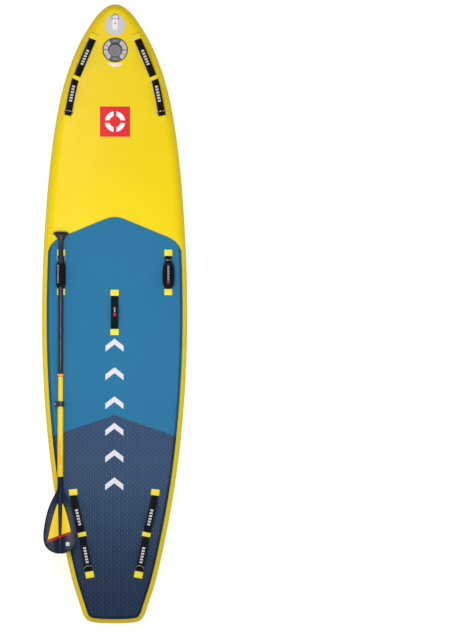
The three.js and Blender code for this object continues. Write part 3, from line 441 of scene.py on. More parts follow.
def round_off(bm, centre, axis):
    """Turn the straight sides of each circle round an axis into arcs."""
    ring = bm.verts.layers.float.new("ring")
    height = {}
    for vert in bm.verts:
        height[vert] = (vert.co - centre).dot(axis)
        vert[ring] = (vert.co - centre - axis * height[vert]).length
    sides = []
    for edge in bm.edges:
        a, b = edge.verts
        level = abs(height[a] - height[b]) < SAME_LEVEL and abs(a[ring] - b[ring]) < SAME_LEVEL
        if level and edge.calc_length() < a[ring] / 2:
            sides.append(edge)
    made = bmesh.ops.subdivide_edges(bm, edges=sides, cuts=CIRCLE_CUTS, use_grid_fill=True)
    for vert in {item for item in made["geom_inner"] if isinstance(item, bmesh.types.BMVert)}:
        away = vert.co - centre
        out = away - axis * away.dot(axis)
        vert.co += out * (vert[ring] / out.length - 1)
    bm.normal_update()


# %% [markdown]
# A finished piece stands for its solid, which is hidden. It takes over the solid's body, so it
# moves with the same joint, and it gets one material of its own. Its faces are shaded smooth, but
# an edge that is still sharp stays sharp, or the shading would bend across it.

# %% A finished piece
BODIES = frame["record"]["behaviour"]["bodies"]
BODY_OF = {node: body for body, nodes in BODIES.items() for node in nodes}
SLOT_OF = {part["node"]: part["material_slot"] for part in frame["record"]["subparts"]}


def finish(bm, name, node, paint, smooth_below=32):
    mesh = bpy.data.meshes.new(name)
    bmesh.ops.triangulate(bm, faces=[f for f in bm.faces if len(f.verts) > 4])
    for face in bm.faces:
        face.smooth = True
    for edge in bm.edges:
        angle = edge.calc_face_angle(0) if len(edge.link_faces) == 2 else 0
        edge.smooth = angle < math.radians(smooth_below)
    bm.to_mesh(mesh)
    bm.free()
    mesh.materials.append(paint.material)
    piece = bpy.data.objects.new(name, mesh)
    scene.collection.objects.link(piece)
    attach(piece, BODY_OF[node])
    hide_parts(node)
    print(name, "faces:", len(mesh.polygons))
    return piece


# %% [markdown]
# Most pieces need no more than the bevel. The grip and the blade of the paddle are moulded in one
# flowing form. A bevel can't smooth those, so their triangles are joined to four-sided faces and
# a Subdivision Surface rounds them, with a crease where the form has a real edge.

# %% Two ways to dress a solid
MOULDED_EDGE = 0.0004
JOIN_FACE_ANGLE, JOIN_SHAPE_ANGLE = math.radians(40), math.radians(60)


def dress(node, name, paint, radius=MOULDED_EDGE, above=35, turned=None):
    bm = solid_copy(node)
    if turned:
        round_off(bm, *turned)
    if radius:
        soften(bm, radius, above)
    return finish(bm, name, node, paint)


def dress_all(chosen, ending, paint, **shape):
    for node in sorted(frame["nodes"]):
        if chosen(node):
            dress(node, node + ending, paint, **shape)


def divide(piece, name, levels):
    smoother = piece.modifiers.new(name, "SUBSURF")
    smoother.levels = smoother.render_levels = levels


def flow(node, name, paint, crease_above=40):
    bm = solid_copy(node, 0.01)
    bmesh.ops.triangulate(bm, faces=bm.faces)
    bmesh.ops.join_triangles(
        bm, faces=bm.faces, angle_face_threshold=JOIN_FACE_ANGLE,
        angle_shape_threshold=JOIN_SHAPE_ANGLE)
    crease = bm.edges.layers.float.new("crease_edge")
    for edge in bm.edges:
        edge[crease] = float(edge.calc_face_angle(0) > math.radians(crease_above))
    divide(finish(bm, name, node, paint, smooth_below=crease_above), "smoother", 2)


# %% [markdown]
# The body is glossy PVC over drop-stitch fabric. The sheets of the deck and of the bottom lap
# over a tape along the rail, which shows as a fine darker line on each side of the seam. The two
# lap lines follow the board's long curve, so they are drawn by the height above the bottom.

# %% Hull colour
LAP, LAP_SOFT = 0.035, 0.0005
LAP_LINE_HALF, LAP_LINE_SOFT = 0.00085, 0.00065
hull_paint = Paint(
    "hull_pvc", srgb(246, 214, 2), Roughness=0.38, Specular_IOR_Level=0.13,
    Coat_Weight=0.05, Coat_Roughness=0.2)
point, x, y, z = hull_paint.place()
height = z - bottom_height(y, Value.most)
on_top = height > THICKNESS / 2
from_seam = abs(height - THICKNESS / 2)
lap = from_seam.past(LAP, LAP_SOFT)
lap_line = from_seam.band(LAP, LAP_LINE_HALF, LAP_LINE_SOFT)
cloud = hull_paint.noise(point, 2.2, 2)
speck = hull_paint.noise(point, 90, 4, 0.6)
hull_paint.over(cloud.soft_step(0.3, 0.7), srgb(249, 220, 8))
hull_paint.over(lap_line * 0.35, srgb(176, 140, 4))
hull_paint.over(speck.soft_step(0.55, 0.8) * 0.06, srgb(160, 120, 0))
print("lap lines:", round(THICKNESS / 2 - LAP, 3), "m from the deck and from the bottom")

# %% [markdown]
# The deck and the bottom each carry a plain mark: a red square with a white lifebuoy ring, cut in
# four. A pale crescent shows under the valve, and the bottom has one small blue tag. All are
# printed flat on the fabric, so they are masks of the place on the board and need no mesh of
# their own.

# %% Marks on the hull
LIFEBUOY_Y_DECK, LIFEBUOY_Y_BOTTOM = 1.141, 1.190
LIFEBUOY_HALF, SQUARE_SOFT = 0.0895, 0.0008
LIFEBUOY_RADIUS, LIFEBUOY_STROKE, RING_SOFT = 0.04675, 0.0135, 0.00075
LIFEBUOY_CUT = 0.00825
VALVE_Y = 1.5609
CRESCENT_CENTRE, CRESCENT_TOP = VALVE_Y - 0.033, VALVE_Y - 0.077
CRESCENT_RADIUS, CRESCENT_SOFT = 0.065, 0.001
TAG_PLACE, TAG_HALF = (0, -0.84), (0.007, 0.012)


def lifebuoy(paint, across, along):
    ring = from_centre(across, along).band(LIFEBUOY_RADIUS, LIFEBUOY_STROKE, RING_SOFT)
    ring = ring * across.least(along).past(LIFEBUOY_CUT, RING_SOFT)
    return paint.blend(ring, srgb(236, 30, 42), srgb(252, 250, 250))


for centre, face in ((LIFEBUOY_Y_DECK, on_top), (LIFEBUOY_Y_BOTTOM, 1 - on_top)):
    across, along = abs(x), abs(y - centre)
    square = (1 - across.most(along).past(LIFEBUOY_HALF, SQUARE_SOFT)) * face
    hull_paint.over(square, lifebuoy(hull_paint, across, along))

crescent = 1 - from_centre(x, y - CRESCENT_CENTRE).past(CRESCENT_RADIUS, CRESCENT_SOFT)
hull_paint.over(crescent * (y < CRESCENT_TOP) * on_top, srgb(246, 238, 230))
hull_paint.over(within(x, y, TAG_PLACE, TAG_HALF) * (1 - on_top), srgb(40, 92, 150))
print("mark on the deck:", 2 * LIFEBUOY_HALF, "m wide")

# %% [markdown]
# Thousands of threads hold the deck and the bottom together and leave a faint grid of dimples.
# They are a tenth of a millimetre deep, far less than a mesh of this size can hold, so a Bump
# node draws them with the weave and the step at the lap. The dimples fade out on the rail, where
# no thread ends.

# %% Hull relief
DIMPLE, DIMPLE_FADE = 0.0025, (0.05, 0.074)
dimples = humps(x, y, DIMPLE, DIMPLE) ** 0.5 * from_seam.soft_step(*DIMPLE_FADE)
weave = hull_paint.noise(point, 900, 2)
hull_paint.bump(dimples * 0.15 + weave * 0.10 + lap * 0.5 + cloud * 0.8, 0.0006, 0.55)

# %% [markdown]
# The hull's long deck strips meet the rounded rail at the deck's edge. A narrow inset band just
# inside that edge keeps the smooth shading of the rail from spreading over the whole deck.

# %% Hull
ON_LEVEL = 0.0006
HULL_BAND = 0.004


def flat_side(bm, level):
    """Faces that lie at one height above the curved bottom."""
    near = {v for v in bm.verts if abs(v.co.z - bottom_height(v.co.y) - level) < ON_LEVEL}
    return [f for f in bm.faces if all(v in near for v in f.verts)]


def inset_band(bm, faces, width):
    bmesh.ops.inset_region(
        bm, faces=faces, thickness=width, use_even_offset=True, use_boundary=True)


bm = solid_copy("hull", 0.02)
for level in (0, THICKNESS):
    faces = flat_side(bm, level)
    inset_band(bm, faces, HULL_BAND)
    print("flat faces at", level, ":", len(faces))
finish(bm, "hull_skin", "hull", hull_paint)

# %% [markdown]
# The deck pad is closed-cell EVA foam, a few millimetres thick, with a fine skin. Its colour is
# never quite even: slow patches, streaks along the board from the cutting, and a fine grain. Both
# parts of the pad share this foam. Both get painted shade on their sloped rim: it is coloured
# darker, as the shade along a pad's edge would be. The mesh keeps a value on the rim's points for
# that. Six plain white chevrons run down the middle and point to the nose.

# %% Foam
CHEVRONS = (-0.184, -0.3535, -0.525, -0.6825, -0.8405, -1.0045)
CHEVRON_HALF = 0.0535
CHEVRON_DROP = 0.042
CHEVRON_STROKE = 0.034
STREAK_SCALE = (28, 1.2, 1)
GRAIN_SHARE = 0.12
RIM_SHADE_SHARE = 0.7


def foam(name, colour, shade):
    paint = Paint(name, colour, Roughness=0.82, Specular_IOR_Level=0.15)
    point, x, y, _ = paint.place()
    grain = paint.noise(point, 1400, 3, 0.6)
    patches = paint.noise(point, 3.0, 3)
    drawn_out = {0: point, 1: STREAK_SCALE}
    long_point = paint.node("ShaderNodeVectorMath", {"operation": "MULTIPLY"}, drawn_out)
    streak = paint.noise(long_point, 1.0, 2)
    paint.over(patches.soft_step(0.3, 0.7) * 0.5 + streak * 0.35, shade)
    return paint, x, y, grain


def chevrons(x, y):
    """White where a chevron is: a bent band that lies between two lines."""
    slope = CHEVRON_DROP / CHEVRON_HALF
    bands = []
    for centre in CHEVRONS:
        bent = y + abs(x) * slope - centre - CHEVRON_DROP / 2
        bands.append(abs(bent) < CHEVRON_STROKE / 2)
    return reduce(Value.most, bands) * (abs(x) < CHEVRON_HALF)


# Painted shade: the rim of a pad is coloured darker, as the shade that falls along its sloped
# edge.
def rim_shade_and_marks(paint, x, y, dark):
    paint.over(paint.attribute("rim").soft_step(0.2, 0.5) * RIM_SHADE_SHARE, dark)
    marks = chevrons(x, y)
    paint.over(marks, srgb(228, 228, 240))
    return marks


# %% [markdown]
# The front part of the pad is lighter blue and smooth, for kneeling and for lifting someone on
# board.

# %% Front foam
front_paint, x, y, grain = foam("foam_blue", srgb(40, 117, 160), srgb(48, 123, 164))
front_paint.over(grain * GRAIN_SHARE, srgb(28, 84, 122))
marks = rim_shade_and_marks(front_paint, x, y, srgb(18, 62, 104))
front_paint.bump(grain * 0.5 - marks * 0.3, 0.0004, 0.5)

# %% [markdown]
# The rear part is navy, for standing. It has short grooves cut along the board, in columns that
# are staggered by half a row, and they show the lighter foam below. Towards the tail the navy
# grows deeper. The grooves are finer than the mesh, so they are drawn as colour and bump
# together: the whole part of a place counts the columns, and the rest of it tells how far from
# one's middle it is.

# %% Rear foam
FADE_START, FADE_END = 0.85, 1.75
COLUMN, COLUMN_SOFT = 0.0155, (0.12, 0.2)
ROW, ROW_SOFT = 0.027, (0.27, 0.33)
rear_paint, x, y, grain = foam("foam_navy", srgb(52, 76, 107), srgb(60, 84, 116))
column = x / COLUMN + 0.5
stagger = (column.whole() * 0.5).cycle()
in_column = abs(column.cycle() - 0.5)
in_row = abs((y / ROW + stagger).cycle() - 0.5)
groove = (1 - in_column.soft_step(*COLUMN_SOFT)) * (1 - in_row.soft_step(*ROW_SOFT))
fade = (0 - y).soft_step(FADE_START, FADE_END)
rear_paint.over(fade * 0.85, srgb(27, 45, 70))
rear_paint.over(grain * GRAIN_SHARE, srgb(24, 34, 50))
rear_paint.over(groove * (0.38 - fade * 0.16), srgb(98, 118, 150))
marks = rim_shade_and_marks(rear_paint, x, y, srgb(20, 30, 62))
rear_paint.bump(grain * 0.3 - groove * 1.6 * (1 - marks) - marks * 0.3, 0.0008, 0.6)

# %% [markdown]
# The rim of a pad is cut at an angle and pressed, so it is softer than the edge of a patch. The
# rim's value for the painted shade is set before the inset and the bevel, and they carry it on to
# the points that they add. Its layer is made first of all, because a new layer cuts a list of
# points that was gathered before it off from the mesh.

# %% Pads
PAD_TOP = THICKNESS + 0.0053
PAD_BAND = 0.002
PAD_EDGE = 0.0012
# Painted shade: points off a pad's flat top get the rim's value, which colours them darker.
for node, paint in (("deck_pad_front", front_paint), ("deck_pad_rear", rear_paint)):
    bm = solid_copy(node, 0.02)
    rim = bm.verts.layers.float.new("rim")
    faces = flat_side(bm, PAD_TOP)
    flat = {v for f in faces for v in f.verts}
    for vert in bm.verts:
        vert[rim] = float(vert not in flat)
    inset_band(bm, faces, PAD_BAND)
    soften(bm, PAD_EDGE, above=50)
    finish(bm, node + "_foam", node, paint)
    print(node, "flat faces:", len(faces))

# %% [markdown]
# The glued patches are the same coated fabric as the hull, a little paler, with a welded edge.
# Their thread is fine enough to draw as a bump. The patch under the nose ring on the deck is pale
# grey with a white strip down its middle, and the white tab over it has a dark eyelet.

# %% Coated fabric
FABRIC_PITCH = 0.00035
STRIP_PLACE, STRIP_HALF = (0, 1.728), (0.0175, 0.035)
EYELET_Y, EYELET_RADIUS = 1.714, 0.0045


def coated(name, colour, edge):
    paint = Paint(name, colour, Roughness=0.45, Specular_IOR_Level=0.3)
    point, x, y, _ = paint.place()
    mottle = paint.noise(point, 60, 3)
    paint.over(mottle.soft_step(0.45, 0.75) * 0.25, edge)
    threads = humps(x, y, FABRIC_PITCH, FABRIC_PITCH)
    paint.bump(threads * 0.4 + mottle * 0.6, 0.0003, 0.5)
    return paint


patch_paint = coated("patch_yellow", srgb(250, 230, 44), srgb(238, 208, 24))
hull_patch_paint = coated("patch_hull_yellow", srgb(247, 217, 8), srgb(240, 206, 6))
nose_paint = coated("patch_grey", srgb(216, 210, 219), srgb(200, 198, 206))
_, x, y, _ = nose_paint.place()
nose_paint.over(within(x, y, STRIP_PLACE, STRIP_HALF), srgb(248, 245, 249))
tab_paint = coated("tab_white", srgb(248, 246, 249), srgb(232, 230, 234))
_, x, y, _ = tab_paint.place()
tab_paint.over(from_centre(x, y - EYELET_Y) < EYELET_RADIUS, srgb(92, 84, 90))

# %% [markdown]
# Patches that lie on the bare hull have its own yellow. Those on the foam and near the tail are
# paler.

# %% Patches and tabs
PATCH_EDGE = 0.0005
ON_HULL = ("front_left_grab", "front_right_grab", "nose_hull")
NAMED_APART = (*ON_HULL, "nose_deck")
dress_all(
    lambda node: "_patch" in node and node.startswith(ON_HULL),
    "_skin", hull_patch_paint, radius=PATCH_EDGE)
dress_all(
    lambda node: "_patch" in node and not node.startswith(NAMED_APART),
    "_skin", patch_paint, radius=PATCH_EDGE)
dress("nose_deck_patch", "nose_deck_patch_skin", nose_paint, radius=PATCH_EDGE)
dress("nose_deck_tab", "nose_deck_tab_strip", tab_paint, radius=PATCH_EDGE)
dress("nose_hull_tab", "nose_hull_tab_strip", hull_patch_paint, radius=PATCH_EDGE)

# %% [markdown]
# The straps are black polyester webbing, woven flat and then bent into hand loops. A weave drawn
# by the place on the board would slide where a strap bends. So every strap keeps two values at
# its points: how far they lie across it and along it. They come from the middle line of the
# solid, which is found from the pairs of points that lie one strap's width apart.

# %% The lay of a strap
WIDTH_MATCH = 0.00008
SAME_STATION = 0.0015


def middle_line(node, width):
    """Middles between the two edges of a strap, from its rear end to its front end."""
    bm = solid_copy(node, 0.0)
    points = [v.co.copy() for v in bm.verts]
    bm.free()
    middles = []
    for i, a in enumerate(points):
        for b in points[i + 1:]:
            apart = abs((a.xy - b.xy).length - width) < WIDTH_MATCH
            if apart and abs(a.x - b.x) > width * 0.8:
                middles.append((a + b) / 2)
    middles.sort(key=lambda p: (round(p.y, 5), p.z))
    line = []
    for p in middles:
        if not line or abs(p.y - line[-1].y) >= SAME_STATION:
            line.append(p)
    return line


def lay_of(line, point):
    """Distance across and along the line, at the nearest place on it."""
    best = None
    run = 0
    for a, b in zip(line, line[1:]):
        step = b - a
        share = min(max((point - a).dot(step) / step.length_squared, 0), 1)
        nearest = a + step * share
        gap = (point - nearest).length
        if best is None or gap < best[0]:
            flat = step.xy.normalized()
            away = point.xy - nearest.xy
            best = (gap, away.x * flat.y - away.y * flat.x, run + step.length * share)
        run += step.length
    return best[1], best[2]


# %% [markdown]
# The weave is a twill: two sets of slanting ribs, one of which is always on top. A line of
# stitches runs along each edge, and the edge itself is a little raised. Each grab strap has two
# rows of short pale bars, so its material also reads where along the strap the middles of the two
# rows are.

# %% Webbing weave
TWILL_PITCH, RIB_PITCH = 0.0008, 0.0007
EDGE_START, EDGE_END = 0.0035, 0.002
STITCH_PITCH, STITCH_SHARE = 0.0042, 0.68
STITCH_HALF, STITCH_INSET = 0.0006, 0.0046
BAR_PITCH, BAR_SHARE, BAR_HALF_WIDTH = 0.0172, 0.62, 0.0086
BARS_HALF_LENGTH = 3 * BAR_PITCH
web_paint = Paint("webbing_black", srgb(6, 5, 8), Roughness=0.75, Specular_IOR_Level=0.12)
point, x, y, _ = web_paint.place()
across, along, _ = web_paint.parts(web_paint.attribute("lay", "Vector"))
first_mark, second_mark, half = web_paint.parts(web_paint.attribute("marks", "Vector"))
twill = ((across + along) / TWILL_PITCH).sine().most(((across - along) / TWILL_PITCH).sine())
rib = (along / RIB_PITCH).sine()
fibre = web_paint.noise(point, 900, 3, 0.6)
edge = abs(across).soft_step(half - EDGE_START, half - EDGE_END)
thread = abs(abs(across) - half + STITCH_INSET) < STITCH_HALF
thread = thread * along.dashed(STITCH_PITCH, STITCH_SHARE)


def bars(centre):
    """Six bars, three on each side of a centre."""
    off = along - centre
    row = (off - BAR_PITCH * (1 - BAR_SHARE) / 2).dashed(BAR_PITCH, BAR_SHARE)
    return row * (abs(off) < BARS_HALF_LENGTH)


both_rows = bars(first_mark).most(bars(second_mark)) * (abs(across) < BAR_HALF_WIDTH)
web_paint.over(fibre, srgb(16, 15, 18))
web_paint.over(twill.soft_step(0.3, 0.9) * 0.3, srgb(32, 31, 36))
web_paint.over(thread * 0.8, srgb(62, 60, 68))
web_paint.over(both_rows * 0.9, srgb(228, 222, 228))
web_paint.bump(twill * 0.4 + rib * 0.25 + fibre * 0.3 + edge * 0.8 + thread * 1.2, 0.0006, 0.6)

# %% [markdown]
# The middle handle has a small red square and a short dashed line in front of it. It is the only
# strap on the board's middle line, so the place on the board is enough to draw them.

# %% Marks on the middle handle
SQUARE_PLACE, SQUARE_HALF = (0, -0.003), (0.0085, 0.0085)
DASHES_PLACE, DASHES_HALF = (0, 0.0265), (0.0035, 0.0145)
HANDLE_DASHES = (0.0058, 0.7)
dashes = within(x, y, DASHES_PLACE, DASHES_HALF) * y.dashed(*HANDLE_DASHES)
web_paint.over(within(x, y, SQUARE_PLACE, SQUARE_HALF), srgb(214, 40, 50))
web_paint.over(dashes * 0.85, srgb(232, 226, 230))
print("red square:", 2 * SQUARE_HALF[0], "m wide")

# %% [markdown]
# Each strap is dressed as the patches are, and then its values are stored as attributes. A strap
# with no bars gets marks that lie far past its end. The length of its middle line is the length
# of webbing that a maker would cut.

# %% Straps
NO_MARK = 9.0
STRAP_EDGE = 0.0007
GRAB_WIDTH, SIDE_WIDTH, CENTRE_WIDTH = 0.042, 0.038, 0.044
BAR_PLACES = {
    "front": ((0.183, 1.512), (0.2605, 1.295)),
    "rear": ((0.2145, -1.198), (0.168, -1.423)),
}


def strap_piece(node, width, places=()):
    """Dress one strap and give the length of its webbing."""
    line = middle_line(node, width)
    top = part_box(node)[1].z
    marks = [lay_of(line, Vector((*place, top)))[1] for place in places]
    bm = solid_copy(node, 0.05)
    soften(bm, STRAP_EDGE, above=40)
    mesh = finish(bm, node + "_strap", node, web_paint).data
    mesh.attributes.new("lay", "FLOAT_VECTOR", "POINT")
    mesh.attributes.new("marks", "FLOAT_VECTOR", "POINT")
    values = [number for vert in mesh.vertices for number in (*lay_of(line, vert.co), 0)]
    mesh.attributes["lay"].data.foreach_set("vector", values)
    same = (marks + [NO_MARK, NO_MARK])[:2] + [width / 2]
    mesh.attributes["marks"].data.foreach_set("vector", same * len(mesh.vertices))
    return round(sum((b - a).length for a, b in zip(line, line[1:])), 3)


for end, places in BAR_PLACES.items():
    for word, sign in (("left", -1), ("right", 1)):
        turned_out = [(sign * across, along) for across, along in places]
        length = strap_piece(f"{end}_{word}_grab_webbing", GRAB_WIDTH, turned_out)
        print(end, word, "grab strap, metres:", length)
for word, width in (("right", SIDE_WIDTH), ("left", SIDE_WIDTH), ("centre", CENTRE_WIDTH)):
    print(word, "handle strap, metres:", strap_piece(f"{word}_handle_webbing", width))

# %% [markdown]
# The side handles have sleeves of foam covered with a stretch fabric and bound with tape at both
# ends. Foam swells its cover, and no bevel shows that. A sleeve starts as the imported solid,
# remeshed to small even faces. A short cloth simulation with air pressure inside then swells it.

# %% Air in a sleeve
PRESSURE = 4.0
FRAMES = 20


def shown_mesh(piece):
    seen = piece.evaluated_get(bpy.context.evaluated_depsgraph_get())
    return bpy.data.meshes.new_from_object(seen)


def remesh(piece, voxel):
    modifier = piece.modifiers.new("even", "REMESH")
    modifier.mode = "VOXEL"
    modifier.voxel_size = voxel
    mesh = shown_mesh(piece)
    piece.modifiers.remove(modifier)
    piece.data = mesh


def inflate(piece):
    """Places of the points after a short time as cloth with air inside."""
    cloth = piece.modifiers.new("swell", "CLOTH")
    cloth.settings.use_pressure = True
    cloth.settings.uniform_pressure_force = PRESSURE
    cloth.settings.effector_weights.gravity = 0
    cloth.point_cache.frame_end = FRAMES
    for number in range(1, FRAMES + 1):
        scene.frame_set(number)
    swollen = [v.co.copy() for v in shown_mesh(piece).vertices]
    piece.modifiers.remove(cloth)
    scene.frame_set(1)
    return swollen


# %% [markdown]
# Only the outside of a sleeve may move, and only a little, so that the strap or the shaft inside
# stays free. A point is on the outside when its normal points away from the middle of its own
# slice of the sleeve. The two sewn lines are pressed in afterwards, at a fixed distance from the
# ends, and that distance is kept at every point, because the fabric's material needs it for the
# thread.

# %% Swelling a sleeve
SWELL_LIMIT = 0.0014
SEAM_AT, SEAM_DEPTH, SEAM_REACH = 0.0085, 0.0009, 0.0016
SLICE = 0.006


def swell(piece):
    mesh = piece.data
    rest = [v.co.copy() for v in mesh.vertices]
    normals = [v.normal.copy() for v in mesh.vertices]
    swollen = inflate(piece)
    rear, front = min(p.y for p in rest), max(p.y for p in rest)
    slices = {}
    for p in rest:
        slices.setdefault(int((p.y - rear) / SLICE), []).append(p)
    centres = {key: sum(points, Vector()) / len(points) for key, points in slices.items()}
    gaps = [min(p.y - rear, front - p.y) for p in rest]
    mesh.attributes.new("end_gap", "FLOAT", "POINT")
    mesh.attributes["end_gap"].data.foreach_set("value", gaps)
    for vert, old, new, normal, gap in zip(mesh.vertices, rest, swollen, normals, gaps):
        out = old - centres[int((old.y - rear) / SLICE)]
        outside = min(max(normal.dot(out.normalized()) * 3 - 0.6, 0), 1)
        move = new - old
        if move.length > SWELL_LIMIT:
            move *= SWELL_LIMIT / move.length
        press = SEAM_DEPTH * math.exp(-((gap - SEAM_AT) / SEAM_REACH) ** 2)
        vert.co = old + (move - normal * press) * outside
    for polygon in mesh.polygons:
        polygon.use_smooth = True


# %% [markdown]
# The cover of a cuff is a knitted stretch fabric. It is black, with a binding at both ends that
# is sewn down with a paler thread. On top each cuff has a dashed line, and the right one a small
# square behind it. The normal's upward part keeps these from showing on the underside of the
# sleeve.

# %% Cuff material
KNIT_PITCH = (0.0006, 0.0009)
BINDING_END = SEAM_AT - 0.003
CUFF_STITCH_SHARE = 0.65
CUFF_LINES = (((0.318, 0.242), (0.0055, 0.046)), ((-0.3355, 0.236), (0.0045, 0.055)))
CUFF_DASHES = (0.0092, 0.66)
CUFF_SQUARE, CUFF_SQUARE_HALF = (0.318, 0.187), (0.008, 0.008)
CUFF_TOP = 0.4
cuff_paint = Paint("cuff_neoprene", srgb(8, 7, 10), Roughness=0.85, Specular_IOR_Level=0.12)
point, x, y, _ = cuff_paint.place()
end_gap = cuff_paint.attribute("end_gap")
on_top = cuff_paint.up() > CUFF_TOP
knit = humps(x, y, *KNIT_PITCH)
fuzz = cuff_paint.noise(point, 500, 3)
binding = end_gap < BINDING_END
thread = (abs(end_gap - SEAM_AT) < STITCH_HALF) * x.dashed(STITCH_PITCH, CUFF_STITCH_SHARE)
cuff_paint.over(fuzz, srgb(19, 18, 22))
cuff_paint.over(binding * 0.6, srgb(30, 29, 34))
cuff_paint.over(thread * 0.8, srgb(74, 72, 80))
for centre, halves in CUFF_LINES:
    dashes = within(x, y, centre, halves) * y.dashed(*CUFF_DASHES) * on_top
    cuff_paint.over(dashes * 0.62, srgb(214, 190, 200))
cuff_paint.over(within(x, y, CUFF_SQUARE, CUFF_SQUARE_HALF) * on_top, srgb(150, 46, 60))
cuff_paint.bump(knit * 0.6 + fuzz * 0.5 + thread, 0.0005, 0.6)

# %% [markdown]
# One subdivision after the simulation rounds what the even faces leave.

# %% Cuffs
SLEEVE_VOXEL = 0.0019
SLEEVE_EDGE = 0.0012
for node in ("right_handle_cuff", "left_handle_cuff"):
    sleeve = dress(node, node + "_sleeve", cuff_paint, radius=SLEEVE_EDGE)
    remesh(sleeve, SLEEVE_VOXEL)
    swell(sleeve)
    divide(sleeve, "smoother", 1)
    print(node, len(sleeve.data.vertices), "points")

# %% [markdown]
# Rings and pins are polished stainless steel. A fine noise varies its roughness, because even
# polished wire is never a perfect mirror. The wire of a ring is six-sided in the solid, so it is
# rounded here: its points move out a little, and a subdivision then turns the wire round, at
# nearly the thickness that it had.

# %% Steel
WIRE_SWELL = 0.0003
PIN_EDGE = 0.0003
steel_paint = Paint("stainless", srgb(122, 123, 130), Metallic=1.0)
point, *_ = steel_paint.place()
brushed = steel_paint.noise(point, 260, 4, 0.6)
steel_paint.over(brushed, srgb(176, 178, 184))
steel_paint.set(Roughness=brushed * 0.18 + 0.14)
steel_paint.bump(brushed, 0.0001, 0.3)
for node in sorted(frame["nodes"]):
    if node.endswith("_ring") and SLOT_OF[node] == "steel":
        bm = solid_copy(node, 0.01)
        for vert in bm.verts:
            vert.co += vert.normal * WIRE_SWELL
        divide(finish(bm, node + "_wire", node, steel_paint, smooth_below=180), "round", 2)
dress_all(lambda node: node.endswith("_pin"), "_steel", steel_paint, radius=PIN_EDGE)

# %% [markdown]
# Moulded plastics differ by colour and gloss. One helper gives them a fine moulded grain, a
# slight change of tone and small scuffs, where the gloss is lower too. A piece's own marks are
# laid over these afterwards.

# %% Moulded plastic


def plastic(name, colour, scuff, roughness, coat=0.0, gloss=0.5):
    paint = Paint(name, colour, Specular_IOR_Level=gloss, Coat_Weight=coat, Coat_Roughness=0.12)
    point, *_ = paint.place()
    grain = paint.noise(point, 500, 3, 0.55)
    worn = paint.noise(point, 24, 4, 0.65).soft_step(0.55, 0.8)
    paint.over(worn * 0.35, scuff)
    paint.set(Roughness=grain * 0.12 + worn * 0.12 + roughness - 0.08)
    paint.bump(grain, 0.00025, 0.4)
    return paint


# %% [markdown]
# The stowed paddle has a black palm grip on a black upper shaft, which slides in a yellow tube.
# The tube carries a dashed orange line. The grip is a flowing form, and the tubes are plain round
# ones, with a bevel at their ends only.

# %% Grip, shafts and tube
TUBE_LINE_PLACE, TUBE_LINE_HALF = (-0.3208, -0.815), (0.0042, 0.074)
TUBE_DASHES, TUBE_TOP = (0.0122, 0.6), 0.3
TUBE_ENDS = 50
grip_paint = plastic(
    "grip_black", srgb(24, 23, 29), srgb(40, 39, 46), 0.34, coat=0.2, gloss=0.3)
shaft_paint = plastic(
    "shaft_black", srgb(24, 23, 26), srgb(38, 36, 39), 0.24, coat=0.3, gloss=0.3)
tube_paint = plastic(
    "tube_yellow", srgb(252, 210, 10), srgb(230, 186, 8), 0.34, coat=0.1, gloss=0.3)
_, x, y, _ = tube_paint.place()
tube_line = within(x, y, TUBE_LINE_PLACE, TUBE_LINE_HALF) * y.dashed(*TUBE_DASHES)
tube_line = tube_line * (tube_paint.up() > TUBE_TOP)
tube_paint.over(tube_line * 0.7, srgb(206, 104, 12))
flow("paddle_grip", "paddle_grip_moulding", grip_paint)
dress("paddle_upper_shaft", "paddle_upper_tube", shaft_paint, above=TUBE_ENDS)
dress("paddle_extension_tube", "paddle_extension_sleeve", tube_paint, above=TUBE_ENDS)
dress("paddle_lower_shaft", "paddle_lower_tube", tube_paint, above=TUBE_ENDS)

# %% [markdown]
# A soft orange collar closes the top of the yellow tube. It has a yellow band round its middle
# and red ends. The bands are measured from the middle of the solid's own box, so they stay on the
# collar.

# %% Collar
COLLAR_BAND, COLLAR_END = 0.0032, 0.0068
collar_paint = plastic("collar_orange", srgb(226, 76, 24), srgb(190, 60, 22), 0.42)
_, x, y, _ = collar_paint.place()
collar_y = sum(corner[1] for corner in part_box("paddle_collar")) / 2
from_middle = abs(y - collar_y)
collar_paint.over(from_middle < COLLAR_BAND, srgb(250, 196, 30))
collar_paint.over(from_middle > COLLAR_END, srgb(176, 34, 20))
dress("paddle_collar", "paddle_collar_moulding", collar_paint, above=30)
print("collar at", round(collar_y, 4))

# %% [markdown]
# The clamp that fixes the length is black plastic: a band round the tube, and a lever that opens
# on a steel pin. Only the pin's pale head shows, as a small disc in the lever's colour.

# %% Clamp
PIN_X, PIN_Y, PIN_RADIUS = -0.3505, -0.532, 0.0034
clamp_paint = plastic("clamp_black", srgb(22, 20, 32), srgb(46, 46, 62), 0.36)
lever_paint = plastic("lever_black", srgb(22, 20, 32), srgb(46, 46, 62), 0.36)
_, x, y, _ = lever_paint.place()
lever_paint.over(from_centre(x - PIN_X, y - PIN_Y) < PIN_RADIUS, srgb(232, 220, 178))
dress("paddle_clamp_band", "paddle_clamp_moulding", clamp_paint, above=40)
dress("paddle_clamp_lever", "paddle_clamp_lever_arm", lever_paint, above=40)

# %% [markdown]
# The two fins are orange plastic. A fin's own solid is already thin and smooth, and a bevel would
# eat its trailing edge, so only the leaf-shaped bases get one.

# %% Fins
FIN_BASE_EDGE = 0.0008
fin_paint = plastic("fin_orange", srgb(158, 52, 6), srgb(178, 74, 24), 0.4, coat=0.15)
dress_all(lambda node: node in ("left_fin", "right_fin"), "_blade", fin_paint, radius=0)
dress_all(lambda node: node.endswith("_fin_base"), "_moulding", fin_paint, radius=FIN_BASE_EDGE)
